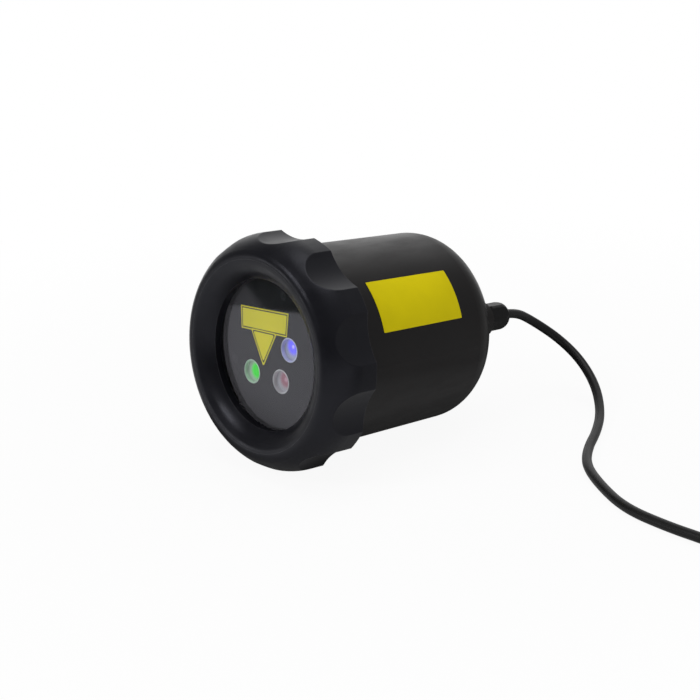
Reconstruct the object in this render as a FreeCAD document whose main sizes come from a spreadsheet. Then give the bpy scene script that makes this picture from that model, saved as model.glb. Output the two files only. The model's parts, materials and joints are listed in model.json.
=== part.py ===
import FreeCAD, Part
import math
import os
import re
import Sketcher

# Round laser show projector, lying on its side with its supply cord, in millimetres and degrees.
# The pieces are drawn about the Y axis: the bezel's crest is at Y = 0, +Y runs to the rear, +X is the
# side with the gland and +Z is up. One placement then lays the whole projector on the floor, at Z = 0.

Vector = FreeCAD.Vector

SIZES = (
    ("bezel_wall", 11.2, "bezel outside the neck's thread"),
    ("bullnose_radius", 21.5, "large rounding of the bezel's front"),
    ("bullnose_sweep", 48.0, "angle that the large rounding turns through"),
    ("crest_radius", 5.5, "small rounding at the bezel's crest"),
    ("bevel_angle", 36.1, "slope of the bevel inside the crest"),
    ("lip_cover", 8.8, "glass edge covered by the lip"),
    ("lip_land", 3.78, "straight bore of the lip"),
    ("scallop_count", 10, "finger scallops round the bezel"),
    ("scallop_radius", 32.7, "radius of a scallop's own curve"),
    ("scallop_depth", 3.6, "depth of a scallop below the lands"),
    ("scallop_edge", 1.0, "rounding along a scallop's edges"),
    ("thread_gap", 0.3, "radial room at the screwed neck"),
    ("seat_gap", 0.3, "radial room round the glass"),
    ("shoulder_gap", 0.4, "line between the bezel and the housing"),
    ("glass_thickness", 2.0, "window glass"),
    ("panel_clear", 1.0, "panel edge to gasket"),
    ("gasket_width", 6.5, "window gasket, across its face"),
    ("gasket_thickness", 1.6, "window gasket"),
    ("neck_rim", 1.5, "glass edge to the outside of the neck"),
    ("neck_wall", 4.5, "wall of the threaded neck"),
    ("neck_length", 13.1, "threaded neck"),
    ("shell_step", 2.7, "shoulder outside the neck"),
    ("shell_draft", 0.8, "moulding draft of the housing"),
    ("shell_length", 83.2, "drafted wall, bezel to rear corner"),
    ("corner_radius", 17.2, "rounding of the rear corner"),
    ("corner_sweep", 48.0, "angle that the rear corner turns through"),
    ("dome_wall", 5.0, "wall of the rear dome"),
    ("boss_radius", 4.5, "screw bosses inside the housing"),
    ("boss_inset", 3.5, "boss axis inside the bore"),
    ("boss_length", 24.0, "screw bosses inside the housing"),
    ("mount_setback", 44.8, "shoulder to the threaded mount"),
    ("mount_boss_radius", 8.5, "boss round the threaded mount"),
    ("mount_floor", 2.6, "boss beyond the insert"),
    ("insert_radius", 5.5, "threaded insert, outside"),
    ("insert_length", 12.0, "threaded insert"),
    ("insert_bore", 3.4, "threaded insert, core of an M8 thread"),
    ("insert_sink", 0.4, "insert below the housing's skin"),
    ("insert_floor", 1.5, "closed end of the insert"),
    ("press_gap", 0.02, "radial room of a pressed piece"),
    ("gland_offset", 27.7, "gland axis from the projector's axis"),
    ("gland_angle", 12.5, "gland's direction, from +X towards +Z"),
    ("gland_rise", 1.0, "gland pad above the dome"),
    ("gland_wall", 8.4, "wall under the gland's pad"),
    ("pad_rim", 1.4, "pad outside the gland washer"),
    ("gland_shank", 6.0, "gland thread radius"),
    ("flange_wall", 1.5, "gland flange outside the thread"),
    ("gland_flange", 2.4, "gland flange thickness"),
    ("gland_spigot", 5.6, "gland spigot under the nut"),
    ("spigot_length", 5.5, "gland spigot under the nut"),
    ("gland_gap", 0.1, "radial room at the gland's threads"),
    ("washer_width", 2.1, "gland washer"),
    ("washer_thickness", 1.0, "gland washer"),
    ("locknut_thickness", 4.0, "gland locknut"),
    ("nut_wall", 1.2, "gland nut wall at the flats"),
    ("nut_corner", 0.6, "rounded corners above the flats"),
    ("nut_straight", 8.7, "gland nut before its dome"),
    ("nut_dome", 6.0, "rounding of the gland nut"),
    ("nut_rim", 0.6, "flat end of the gland nut"),
    ("nut_gap", 0.3, "gap between flange and nut"),
    ("seal_wall", 1.0, "rubber seal round the cord"),
    ("cord_radius", 2.5, "supply cord"),
    ("cord_gap", 0.05, "radial room round the cord"),
    ("cluster_x", -4.57, "centre of the three beams, sideways"),
    ("cluster_z", -0.07, "centre of the three beams, upwards"),
    ("beam_circle", 17.1, "radius of the circle of beams"),
    ("blue_angle", 14.5, "blue beam, from +X towards +Z"),
    ("green_angle", 228.9, "green beam, from +X towards +Z"),
    ("red_angle", 310.2, "red beam, from +X towards +Z"),
    ("panel_gap", 0.5, "glass to aperture panel"),
    ("post_reach", 13.9, "beam circle to the posts"),
    ("panel_rim", 8.5, "posts to the panel edge"),
    ("panel_thickness", 1.5, "aperture panel"),
    ("aperture_radius", 6.2, "hole for each beam"),
    ("drive_teeth", 30, "gear on the motor shaft"),
    ("grating_teeth", 27, "gear round each grating"),
    ("tooth_share", 0.4, "tooth thickness, share of the pitch"),
    ("gear_width", 4.2, "all gears"),
    ("gear_play", 0.8, "panel to gears"),
    ("thrust_gap", 0.3, "gear to the barrel's shoulder"),
    ("grating_radius", 6.4, "diffraction grating disc"),
    ("grating_thickness", 1.0, "diffraction grating disc"),
    ("nose_clear", 0.6, "grating to the barrel nose"),
    ("running_gap", 0.05, "radial room of a turning fit"),
    ("barrel_radius", 6.0, "laser barrel"),
    ("barrel_length", 32.0, "laser barrel behind its nose"),
    ("barrel_nose", 5.0, "barrel nose that carries a gear"),
    ("beam_bore", 3.6, "bore of a laser barrel"),
    ("lens_thickness", 2.0, "collimating lens"),
    ("lens_depth", 1.2, "lens behind the end of the nose"),
    ("diode_radius", 4.5, "laser diode can"),
    ("diode_length", 3.0, "laser diode can"),
    ("block_gap", 0.6, "block inside the bore"),
    ("block_thickness", 12.0, "heat sink block"),
    ("post_radius", 2.5, "posts"),
    ("post_angle", 198.0, "first post, from +X towards +Z"),
    ("screw_head", 2.0, "screw head radius"),
    ("screw_head_depth", 1.1, "screw head"),
    ("screw_shank", 1.2, "screw shank radius"),
    ("screw_length", 6.0, "screw shank"),
    ("motor_length", 18.0, "motor can"),
    ("motor_web", 3.0, "block's web in front of the motor"),
    ("barrel_web", 1.6, "block between motor and barrels"),
    ("motor_boss", 3.0, "motor front boss"),
    ("motor_screw_offset", 6.4, "motor screws from the shaft"),
    ("shaft_radius", 1.0, "motor shaft"),
    ("hub_radius", 4.0, "hub of the drive gear"),
    ("hub_length", 2.4, "hub of the drive gear"),
    ("hub_clear", 1.3, "hub to the motor"),
    ("board_inset", 8.8, "board edge inside the bore"),
    ("board_thickness", 1.6, "driver board"),
    ("board_post", 28.0, "posts between block and board"),
    ("terminal_width", 12.0, "terminal block on the board"),
    ("terminal_height", 10.0, "terminal block on the board"),
    ("capacitor_radius", 6.3, "capacitor on the board"),
    ("capacitor_height", 16.0, "capacitor on the board"),
    ("coil_radius", 7.0, "power inductor on the board"),
    ("coil_height", 7.0, "power inductor on the board"),
    ("chip_width", 8.0, "driver chips on the board"),
    ("chip_height", 2.0, "driver chips on the board"),
    ("coil_outer", 37.0, "largest turn of the put-away coil"),
    ("turn_gap", 0.7, "turn to turn of the coil"),
    ("coil_half_turns", 6, "half turns in each layer"),
    ("coil_end", 6.0, "straight start of the coil"),
    ("coil_tail", 15.0, "straight run from the coil to the plug"),
    ("tie_width", 7.0, "strap round the coil"),
    ("tie_thickness", 0.6, "strap round the coil"),
    ("tie_gap", 0.3, "room inside the strap"),
    ("plug_relief", 14.0, "tapered relief of the plug"),
    ("plug_body", 20.0, "plug body"),
    ("plug_body_radius", 6.2, "plug body"),
    ("plug_collar", 13.0, "plug collar"),
    ("plug_collar_radius", 8.6, "plug collar"),
    ("pin_radius", 0.8, "contact pins"),
    ("pin_length", 6.0, "contact pins"),
    ("pin_offset", 1.9, "contact pins from the plug's axis"),
)

doc = FreeCAD.newDocument("projector")
sheet = doc.addObject("Spreadsheet::Sheet", "Sizes")
for row, (alias, number, note) in enumerate(SIZES, start=1):
    sheet.set(f"A{row}", note)
    sheet.set(f"B{row}", str(number))
    sheet.setAlias(f"B{row}", alias)
doc.recompute()
ALIASES = {alias for alias, number, note in SIZES}

# Places that follow from the sizes, as formulas on the sheet. Radii first, from the beams outwards.
GEAR_MODULE = "(2 * beam_circle / (drive_teeth + grating_teeth))"
POST_CIRCLE = "(beam_circle + post_reach)"
PANEL_R = f"({POST_CIRCLE} + panel_rim)"
GASKET_R = f"({PANEL_R} + panel_clear)"
GLASS_R = f"({GASKET_R} + gasket_width)"
NECK_R = f"({GLASS_R} + neck_rim)"
BORE_R = f"({NECK_R} - neck_wall)"
SHELL_R = f"({NECK_R} + shell_step)"
THREAD_R = f"({NECK_R} + thread_gap)"
BEZEL_R = f"({THREAD_R} + bezel_wall)"
LIP_R = f"({GLASS_R} - lip_cover)"
BOSS_CIRCLE = f"({BORE_R} - boss_inset)"
BLOCK_R = f"({BORE_R} - block_gap)"
BOARD_R = f"({BORE_R} - board_inset)"
MOTOR_R = "(beam_circle - barrel_radius - barrel_web)"
# Along the axis, from the bezel's crest to the rear.
CREST_R = f"({BEZEL_R} - bullnose_radius + (bullnose_radius - crest_radius) * cos(bullnose_sweep))"
BULLNOSE_Y = "(crest_radius + (bullnose_radius - crest_radius) * sin(bullnose_sweep))"
BEVEL_R = f"({CREST_R} - crest_radius * sin(bevel_angle))"
BEVEL_Y = "(crest_radius * (1 - cos(bevel_angle)))"
LIP_Y = f"({BEVEL_Y} + ({BEVEL_R} - {LIP_R}) * tan(bevel_angle))"
WINDOW_Y = f"({LIP_Y} + lip_land)"
GLASS_REAR = f"({WINDOW_Y} + glass_thickness)"
NECK_FRONT = f"({GLASS_REAR} + gasket_thickness)"
SHOULDER_Y = f"({NECK_FRONT} + neck_length)"
BEZEL_REAR = f"({SHOULDER_Y} - shoulder_gap)"
WALL_END_Y = f"({SHOULDER_Y} + shell_length)"
WALL_END_R = f"({SHELL_R} - shell_length * tan(shell_draft))"
CORNER_R = f"({WALL_END_R} - corner_radius * cos(shell_draft))"
CORNER_Y = f"({WALL_END_Y} - corner_radius * sin(shell_draft))"
DOME_EDGE_R = f"({CORNER_R} + corner_radius * cos(corner_sweep))"
DOME_EDGE_Y = f"({CORNER_Y} + corner_radius * sin(corner_sweep))"
DOME_Y = f"({DOME_EDGE_Y} - {DOME_EDGE_R} * tan(corner_sweep))"
DOME_RADIUS = f"({DOME_EDGE_R} / cos(corner_sweep))"
CAVITY_RADIUS = f"({DOME_RADIUS} - dome_wall)"
CAVITY_Y = f"({DOME_Y} + sqrt({CAVITY_RADIUS}^2 - {BORE_R}^2))"
PANEL_Y = f"({GLASS_REAR} + panel_gap)"
PANEL_REAR = f"({PANEL_Y} + panel_thickness)"
GEAR_Y = f"({PANEL_REAR} + gear_play)"
GEAR_REAR = f"({GEAR_Y} + gear_width)"
BARREL_Y = f"({GEAR_REAR} + thrust_gap)"
NOSE_Y = f"({GEAR_Y} + grating_thickness + nose_clear)"
BARREL_REAR = f"({BARREL_Y} + barrel_length)"
BLOCK_Y = f"({GEAR_REAR} + hub_length + hub_clear)"
BLOCK_REAR = f"({BLOCK_Y} + block_thickness)"
MOTOR_Y = f"({BLOCK_Y} + motor_web)"
BOARD_Y = f"({BLOCK_REAR} + board_post)"
BOARD_REAR = f"({BOARD_Y} + board_thickness)"
TERMINAL_Y = f"({BOARD_REAR} + terminal_height)"
MOUNT_Y = f"({SHOULDER_Y} + mount_setback)"
MOUNT_R = f"({SHELL_R} - mount_setback * tan(shell_draft))"
# The gland and its nut.
GLAND_X = "(gland_offset * cos(gland_angle))"
GLAND_Z = "(gland_offset * sin(gland_angle))"
GLAND_FACE = f"({DOME_Y} + sqrt({DOME_RADIUS}^2 - gland_offset^2) + gland_rise)"
GLAND_SEAT = f"({GLAND_FACE} - gland_wall)"
GLAND_HOLE = "(gland_shank + gland_gap)"
GLAND_FLATS = "(2 * (gland_shank + flange_wall))"
WASHER_R = f"({GLAND_HOLE} + washer_width)"
PAD_R = f"({WASHER_R} + pad_rim)"
FLANGE_Y = f"({GLAND_FACE} + washer_thickness)"
FLANGE_REAR = f"({FLANGE_Y} + gland_flange)"
NUT_Y = f"({FLANGE_REAR} + nut_gap)"
NUT_BORE = "(gland_spigot + gland_gap)"
NUT_FLATS = f"(2 * ({NUT_BORE} + nut_wall))"
NUT_R = f"({NUT_BORE} + nut_wall + nut_corner)"
CORD_HOLE = "(cord_radius + seal_wall)"
NUT_DOME_Y = f"({NUT_Y} + nut_straight)"
NUT_REAR = f"({NUT_DOME_Y} + sqrt(nut_dome^2 - ({CORD_HOLE} + nut_rim - {NUT_R} + nut_dome)^2))"
COIL_STEP = "(2 * cord_radius + turn_gap)"


def bound(text):
    """The formula with each size named as a cell of the sheet."""
    return re.sub(r"[a-z][a-z_]+", lambda m: f"Sizes.{m.group()}" if m.group() in ALIASES else m.group(), text)


def size(text):
    """The number that a formula on the sheet gives."""
    return float(sheet.evalExpression(bound(text)))


def line_to(x, y):
    return {"end": (x, y)}


def arc_to(x, y, centre_x, centre_y, hold):
    """An arc of under half a circle to (x, y); hold names the coordinate that fixes where it ends."""
    return {"end": (x, y), "centre": (centre_x, centre_y), "hold": hold}


def hold_point(sketch, edge, place, axis, formula):
    """Holds one coordinate of a sketch point at a formula on the sheet."""
    value = size(formula)
    if abs(value) < 1e-9:
        sketch.addConstraint(Sketcher.Constraint("PointOnObject", edge, place, -2 if axis == "x" else -1))
        return
    kind = "DistanceX" if axis == "x" else "DistanceY"
    index = sketch.addConstraint(Sketcher.Constraint(kind, -1, 1, edge, place, value))
    sketch.setExpression(f"Constraints[{index}]", bound(formula))


def draw_outline(sketch, steps):
    """Draws the closed outline of the steps, each corner held by the sheet."""
    corners = [Vector(size(s["end"][0]), size(s["end"][1]), 0) for s in steps]
    ends = []
    for i, step in enumerate(steps):
        start, stop = corners[i - 1], corners[i]
        if "centre" not in step:
            edge = sketch.addGeometry(Part.LineSegment(start, stop))
            ends.append((edge, 1, 2))
            continue
        centre = Vector(size(step["centre"][0]), size(step["centre"][1]), 0)
        forward = (start - centre).cross(stop - centre).z > 0
        first, last = (start, stop) if forward else (stop, start)
        angles = [math.atan2((p - centre).y, (p - centre).x) for p in (first, last)]
        if angles[1] < angles[0]:
            angles[1] += 2 * math.pi
        circle = Part.Circle(centre, Vector(0, 0, 1), (start - centre).Length)
        edge = sketch.addGeometry(Part.ArcOfCircle(circle, *angles))
        ends.append((edge, 1, 2) if forward else (edge, 2, 1))
    for i, step in enumerate(steps):
        edge, place = ends[i][0], ends[i][2]
        following = ends[(i + 1) % len(ends)]
        sketch.addConstraint(Sketcher.Constraint("Coincident", edge, place, following[0], following[1]))
        if "centre" in step:
            hold_point(sketch, edge, 3, "x", step["centre"][0])
            hold_point(sketch, edge, 3, "y", step["centre"][1])
            axes = step["hold"]
        else:
            axes = "xy"
        for axis in axes:
            hold_point(sketch, edge, place, axis, step["end"]["xy".index(axis)])


def new_sketch(body, role):
    """An empty sketch on one of the body's own origin planes."""
    sketch = body.newObject("Sketcher::SketchObject", f"{body.Name}_sketch")
    plane = next(f for f in body.Origin.OriginFeatures if f.Role == role)
    sketch.AttachmentSupport = [(plane, "")]
    sketch.MapMode = "FlatFace"
    return sketch


PIECES = {}


def piece(name, shape_object, x="0", z="0"):
    """Keeps an object as a sub-part of the projector, with its axis at (x, z)."""
    shape_object.Label = name
    PIECES[name] = (shape_object, x, z)
    return shape_object


def turned_body(name, steps):
    """A body turned about the Y axis from the outline of the steps."""
    body = doc.addObject("PartDesign::Body", name)
    sketch = new_sketch(body, "XY_Plane")
    draw_outline(sketch, steps)
    turn = body.newObject("PartDesign::Revolution", f"{name}_turn")
    turn.Profile = sketch
    turn.ReferenceAxis = (sketch, ["V_Axis"])
    turn.Angle = 360
    doc.recompute()
    return body


def ring(inner, outer, front, rear):
    """Outline of a plain turned ring, or of a disc where the inner radius is 0."""
    return [line_to(inner, front), line_to(outer, front), line_to(outer, rear), line_to(inner, rear)]


def stepped(*radius_and_end, front="0", inner="0"):
    """Outline of a turned piece of plain steps, each with its radius and the place where it ends."""
    steps = [line_to(inner, front)]
    place = front
    for radius, end in radius_and_end:
        steps.append(line_to(radius, place))
        steps.append(line_to(radius, end))
        place = end
    steps.append(line_to(inner, place))
    return steps


def rod(name, radius, front, rear, x="0", z="0"):
    """A cylinder along Y, as a tool for cutting and joining."""
    tool = doc.addObject("Part::Cylinder", name)
    tool.setExpression("Radius", bound(radius))
    tool.setExpression("Height", bound(f"{rear} - {front}"))
    tool.Placement = FreeCAD.Placement(Vector(0, 0, 0), FreeCAD.Rotation(Vector(1, 0, 0), -90))
    tool.setExpression(".Placement.Base.x", bound(x))
    tool.setExpression(".Placement.Base.y", bound(front))
    tool.setExpression(".Placement.Base.z", bound(z))
    return tool


def block(name, widths, corner):
    """A box with its low corner at the given place, each size a formula."""
    tool = doc.addObject("Part::Box", name)
    for side, width in zip(("Length", "Width", "Height"), widths):
        tool.setExpression(side, bound(width))
    for axis, place in zip("xyz", corner):
        tool.setExpression(f".Placement.Base.{axis}", bound(place))
    return tool


def hexagon(name, flats, front, rear):
    """A six-sided prism along Y with a flat on top."""
    tool = doc.addObject("Part::Prism", name)
    tool.Polygon = 6
    tool.setExpression("Circumradius", bound(f"{flats} / 2 / cos(30)"))
    tool.setExpression("Height", bound(f"{rear} - {front}"))
    tool.Placement = FreeCAD.Placement(Vector(0, 0, 0), FreeCAD.Rotation(Vector(1, 0, 0), -90))
    tool.setExpression(".Placement.Base.y", bound(front))
    return tool


def joined(name, tools):
    result = doc.addObject("Part::MultiFuse", name)
    result.Shapes = tools
    return result


def cut(name, base, tools):
    result = doc.addObject("Part::Cut", name)
    result.Base = base
    result.Tool = tools[0] if len(tools) == 1 else joined(f"{name}_tools", tools)
    return result


def common(name, base, tool):
    result = doc.addObject("Part::Common", name)
    result.Base = base
    result.Tool = tool
    return result


def group(name, tools):
    result = doc.addObject("Part::Compound", name)
    result.Links = tools
    return result


def around(circle, angle, count=3, centre_x="0", centre_z="0"):
    """Formulas for the places of equal things on a circle, from the angle of the first."""
    turn = 360 / count
    return [(f"({centre_x} + {circle} * cos({angle} + {i * turn}))",
             f"({centre_z} + {circle} * sin({angle} + {i * turn}))") for i in range(count)]


def beam_place(colour):
    """Formulas for the place of one laser's axis."""
    return (f"(cluster_x + beam_circle * cos({colour}_angle))", f"(cluster_z + beam_circle * sin({colour}_angle))")


COLOURS = ("red", "green", "blue")
BEAMS = {colour: beam_place(colour) for colour in COLOURS}
POSTS = around(POST_CIRCLE, "post_angle")
BOSSES = around(BOSS_CIRCLE, "post_angle + 60")


def make_bezel():
    """Screw-on bezel with a bullnose front, a bevelled window and finger scallops."""
    body = turned_body("bezel_ring", [
        line_to(THREAD_R, BEZEL_REAR),
        line_to(BEZEL_R, BEZEL_REAR),
        line_to(BEZEL_R, BULLNOSE_Y),
        arc_to(f"({CREST_R} + crest_radius * cos(bullnose_sweep))", "(crest_radius * (1 - sin(bullnose_sweep)))",
               f"({BEZEL_R} - bullnose_radius)", BULLNOSE_Y, "y"),
        arc_to(BEVEL_R, BEVEL_Y, CREST_R, "crest_radius", "y"),
        line_to(LIP_R, LIP_Y),
        line_to(LIP_R, WINDOW_Y),
        line_to(f"({GLASS_R} + seat_gap)", WINDOW_Y),
        line_to(f"({GLASS_R} + seat_gap)", f"({NECK_FRONT} - shoulder_gap)"),
        line_to(THREAD_R, f"({NECK_FRONT} - shoulder_gap)"),
    ])
    whole = body.Shape.Volume
    sketch = new_sketch(body, "XZ_Plane")
    edge = sketch.addGeometry(Part.Circle(Vector(0, size(BEZEL_R), 0), Vector(0, 0, 1), size("scallop_radius")))
    index = sketch.addConstraint(Sketcher.Constraint("Radius", edge, size("scallop_radius")))
    sketch.setExpression(f"Constraints[{index}]", bound("scallop_radius"))
    hold_point(sketch, edge, 3, "x", "0")
    hold_point(sketch, edge, 3, "y", f"{BEZEL_R} - scallop_depth + scallop_radius")
    pocket = body.newObject("PartDesign::Pocket", "scallop")
    pocket.Profile = sketch
    pocket.Type = "ThroughAll"
    pocket.Midplane = True
    pattern = body.newObject("PartDesign::PolarPattern", "scallops")
    pattern.Originals = [pocket]
    pattern.Axis = (next(f for f in body.Origin.OriginFeatures if f.Role == "Y_Axis"), [""])
    pattern.Angle = 360
    pattern.setExpression("Occurrences", bound("scallop_count"))
    body.Tip = pattern
    doc.recompute()
    if body.Shape.Volume > 0.97 * whole:
        raise RuntimeError("the scallops cut nothing")
    soften_scallops(body, pattern)
    return piece("bezel_ring", body)


def soften_scallops(body, pattern):
    """Rounds the edges where the scallops meet the lands and the bullnose."""
    names = []
    scallop = size("scallop_radius")
    for number, edge in enumerate(pattern.Shape.Edges, start=1):
        faces = pattern.Shape.ancestorsOfType(edge, Part.Face)
        curved = [f for f in faces if isinstance(f.Surface, Part.Cylinder) and abs(f.Surface.Radius - scallop) < 1e-6]
        flat = [f for f in faces if isinstance(f.Surface, Part.Plane)]
        if len(curved) == 1 and not flat:
            names.append(f"Edge{number}")
    soft = body.newObject("PartDesign::Fillet", "scallop_edges")
    soft.Base = (pattern, names)
    soft.setExpression("Radius", bound("scallop_edge"))
    body.Tip = soft
    doc.recompute()


def make_window():
    """Window glass and the gasket behind it."""
    piece("window_glass", turned_body("window_glass", ring("0", GLASS_R, WINDOW_Y, GLASS_REAR)))
    piece("window_gasket", turned_body("window_gasket", ring(
        GASKET_R, GLASS_R, GLASS_REAR, NECK_FRONT)))


def make_housing():
    """Die-cast shell: threaded neck, drafted wall, domed rear, bosses, gland pad and mount boss."""
    shell = turned_body("housing_shell", [
        line_to(BORE_R, NECK_FRONT),
        line_to(NECK_R, NECK_FRONT),
        line_to(NECK_R, SHOULDER_Y),
        line_to(SHELL_R, SHOULDER_Y),
        line_to(WALL_END_R, WALL_END_Y),
        arc_to(DOME_EDGE_R, DOME_EDGE_Y, CORNER_R, CORNER_Y, "y"),
        arc_to("0", f"({DOME_Y} + {DOME_RADIUS})", "0", DOME_Y, "x"),
        line_to("0", f"({DOME_Y} + {CAVITY_RADIUS})"),
        arc_to(BORE_R, CAVITY_Y, "0", DOME_Y, "x"),
    ])
    bosses = [rod(f"boss_{i}", "boss_radius", BLOCK_REAR, f"({BLOCK_REAR} + boss_length)", x, z)
              for i, (x, z) in enumerate(BOSSES)]
    pad = rod("gland_pad", PAD_R, GLAND_SEAT, GLAND_FACE, GLAND_X, GLAND_Z)
    mount = doc.addObject("Part::Cylinder", "mount_boss")
    mount.setExpression("Radius", bound("mount_boss_radius"))
    mount.setExpression("Height", bound("insert_length + insert_sink + mount_floor - dome_wall / 2"))
    mount.setExpression(".Placement.Base.y", bound(MOUNT_Y))
    mount.setExpression(".Placement.Base.z", bound(f"dome_wall / 2 - {MOUNT_R}"))
    solid = joined("housing_solid", [shell, pad, mount] + bosses)
    reach = f"({GLAND_FACE} + 2 * dome_wall)"
    tools = [
        rod("pad_clear", PAD_R, GLAND_FACE, reach, GLAND_X, GLAND_Z),
        rod("seat_clear", f"({PAD_R} - gland_gap)", f"({GLAND_SEAT} - 3 * locknut_thickness)", GLAND_SEAT,
            GLAND_X, GLAND_Z),
        rod("gland_hole", GLAND_HOLE, f"({GLAND_SEAT} - gland_gap)", reach, GLAND_X, GLAND_Z),
    ]
    for i, (x, z) in enumerate(BOSSES):
        tools.append(rod(f"boss_hole_{i}", "(screw_shank + press_gap)", f"({BLOCK_REAR} - gland_gap)",
                         f"({BLOCK_REAR} + screw_length + screw_head)", x, z))
    pocket = doc.addObject("Part::Cylinder", "insert_pocket")
    pocket.setExpression("Radius", bound("insert_radius + press_gap"))
    pocket.setExpression("Height", bound("insert_length + insert_sink + dome_wall"))
    pocket.setExpression(".Placement.Base.y", bound(MOUNT_Y))
    pocket.setExpression(".Placement.Base.z", bound(f"0 - {MOUNT_R} - dome_wall"))
    tools.append(pocket)
    piece("housing", cut("housing", solid, tools))


def make_mount_insert():
    """Brass insert with a blind thread, pressed into the underside for a stake or a bracket."""
    outside = doc.addObject("Part::Cylinder", "insert_outside")
    outside.setExpression("Radius", bound("insert_radius"))
    outside.setExpression("Height", bound("insert_length"))
    inside = doc.addObject("Part::Cylinder", "insert_inside")
    inside.setExpression("Radius", bound("insert_bore"))
    inside.setExpression("Height", bound("insert_length - insert_floor"))
    for tool in (outside, inside):
        tool.setExpression(".Placement.Base.y", bound(MOUNT_Y))
        tool.setExpression(".Placement.Base.z", bound(f"insert_sink - {MOUNT_R}"))
    piece("mount_insert", cut("mount_insert", outside, [inside]))


def make_gland():
    """Cable gland: washer, hexagon body, locknut, rubber seal and domed nut."""
    washer = turned_body("gland_washer", ring(GLAND_HOLE, WASHER_R, GLAND_FACE, FLANGE_Y))
    piece("gland_washer", washer, GLAND_X, GLAND_Z)
    stem = turned_body("gland_stem", stepped(
        ("gland_shank", FLANGE_REAR), ("gland_spigot", f"({FLANGE_REAR} + spigot_length)"),
        front=f"({GLAND_SEAT} - locknut_thickness - 1)", inner="(cord_radius + cord_gap)"))
    flange = cut("gland_flange_ring", hexagon("gland_hexagon", GLAND_FLATS, FLANGE_Y, FLANGE_REAR),
                 [rod("gland_core", "(cord_radius + cord_gap)", f"({FLANGE_Y} - 1)", f"({FLANGE_REAR} + 1)")])
    piece("gland_body", joined("gland_body", [stem, flange]), GLAND_X, GLAND_Z)
    locknut = cut("gland_locknut", hexagon("locknut_hexagon", GLAND_FLATS, f"({GLAND_SEAT} - locknut_thickness)",
                                           GLAND_SEAT),
                  [rod("locknut_bore", GLAND_HOLE, f"({GLAND_SEAT} - locknut_thickness - 1)",
                       f"({GLAND_SEAT} + 1)")])
    piece("gland_locknut", locknut, GLAND_X, GLAND_Z)
    nut_turn = turned_body("gland_nut_turn", [
        line_to(NUT_BORE, NUT_Y),
        line_to(NUT_R, NUT_Y),
        line_to(NUT_R, NUT_DOME_Y),
        arc_to(f"({CORD_HOLE} + nut_rim)", NUT_REAR, f"({NUT_R} - nut_dome)", NUT_DOME_Y, "x"),
        line_to(CORD_HOLE, NUT_REAR),
        line_to(CORD_HOLE, f"({NUT_Y} + spigot_length)"),
        line_to(NUT_BORE, f"({NUT_Y} + spigot_length)"),
    ])
    piece("gland_nut", common("gland_nut", nut_turn, hexagon("nut_hexagon", NUT_FLATS, NUT_Y, NUT_REAR)),
          GLAND_X, GLAND_Z)
    seal = turned_body("gland_seal", ring("(cord_radius + cord_gap)", f"({CORD_HOLE} - cord_gap)",
                                          f"({FLANGE_REAR} + spigot_length + cord_gap)", NUT_REAR))
    piece("gland_seal", seal, GLAND_X, GLAND_Z)


def make_panel():
    """Aperture panel behind the glass, with a hole for each beam and flush screws."""
    disc = rod("panel_disc", PANEL_R, PANEL_Y, PANEL_REAR)
    past = f"({PANEL_REAR} + 1)"
    tools = [rod(f"aperture_{colour}", "aperture_radius", f"({PANEL_Y} - 1)", past, *BEAMS[colour])
             for colour in COLOURS]
    for i, (x, z) in enumerate(POSTS):
        tools.append(rod(f"panel_hole_{i}", "(screw_shank + running_gap)", f"({PANEL_Y} - 1)", past, x, z))
        tools.append(rod(f"panel_counterbore_{i}", "(screw_head + running_gap)", f"({PANEL_Y} - 1)",
                         f"({PANEL_Y} + screw_head_depth)", x, z))
    piece("aperture_panel", cut("aperture_panel", disc, tools))
    piece("panel_screws", group("panel_screws", screws("panel", POSTS, PANEL_Y)))
    posts = []
    for i, (x, z) in enumerate(POSTS):
        posts.append(cut(f"panel_post_{i}", rod(f"panel_post_rod_{i}", "post_radius", PANEL_REAR, BLOCK_Y, x, z),
                         [rod(f"panel_post_hole_{i}", "(screw_shank + press_gap)", f"({PANEL_REAR} - 1)",
                              f"({BLOCK_Y} + 1)", x, z)]))
    piece("panel_posts", group("panel_posts", posts))


def screws(name, places, front):
    """Flush-headed screws, one at each place, pointing to the rear."""
    made = []
    for i, (x, z) in enumerate(places):
        head = rod(f"{name}_head_{i}", "screw_head", front, f"({front} + screw_head_depth)", x, z)
        shank = rod(f"{name}_shank_{i}", "screw_shank", front, f"({front} + screw_head_depth + screw_length)", x, z)
        made.append(joined(f"{name}_screw_{i}", [head, shank]))
    return made


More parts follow.
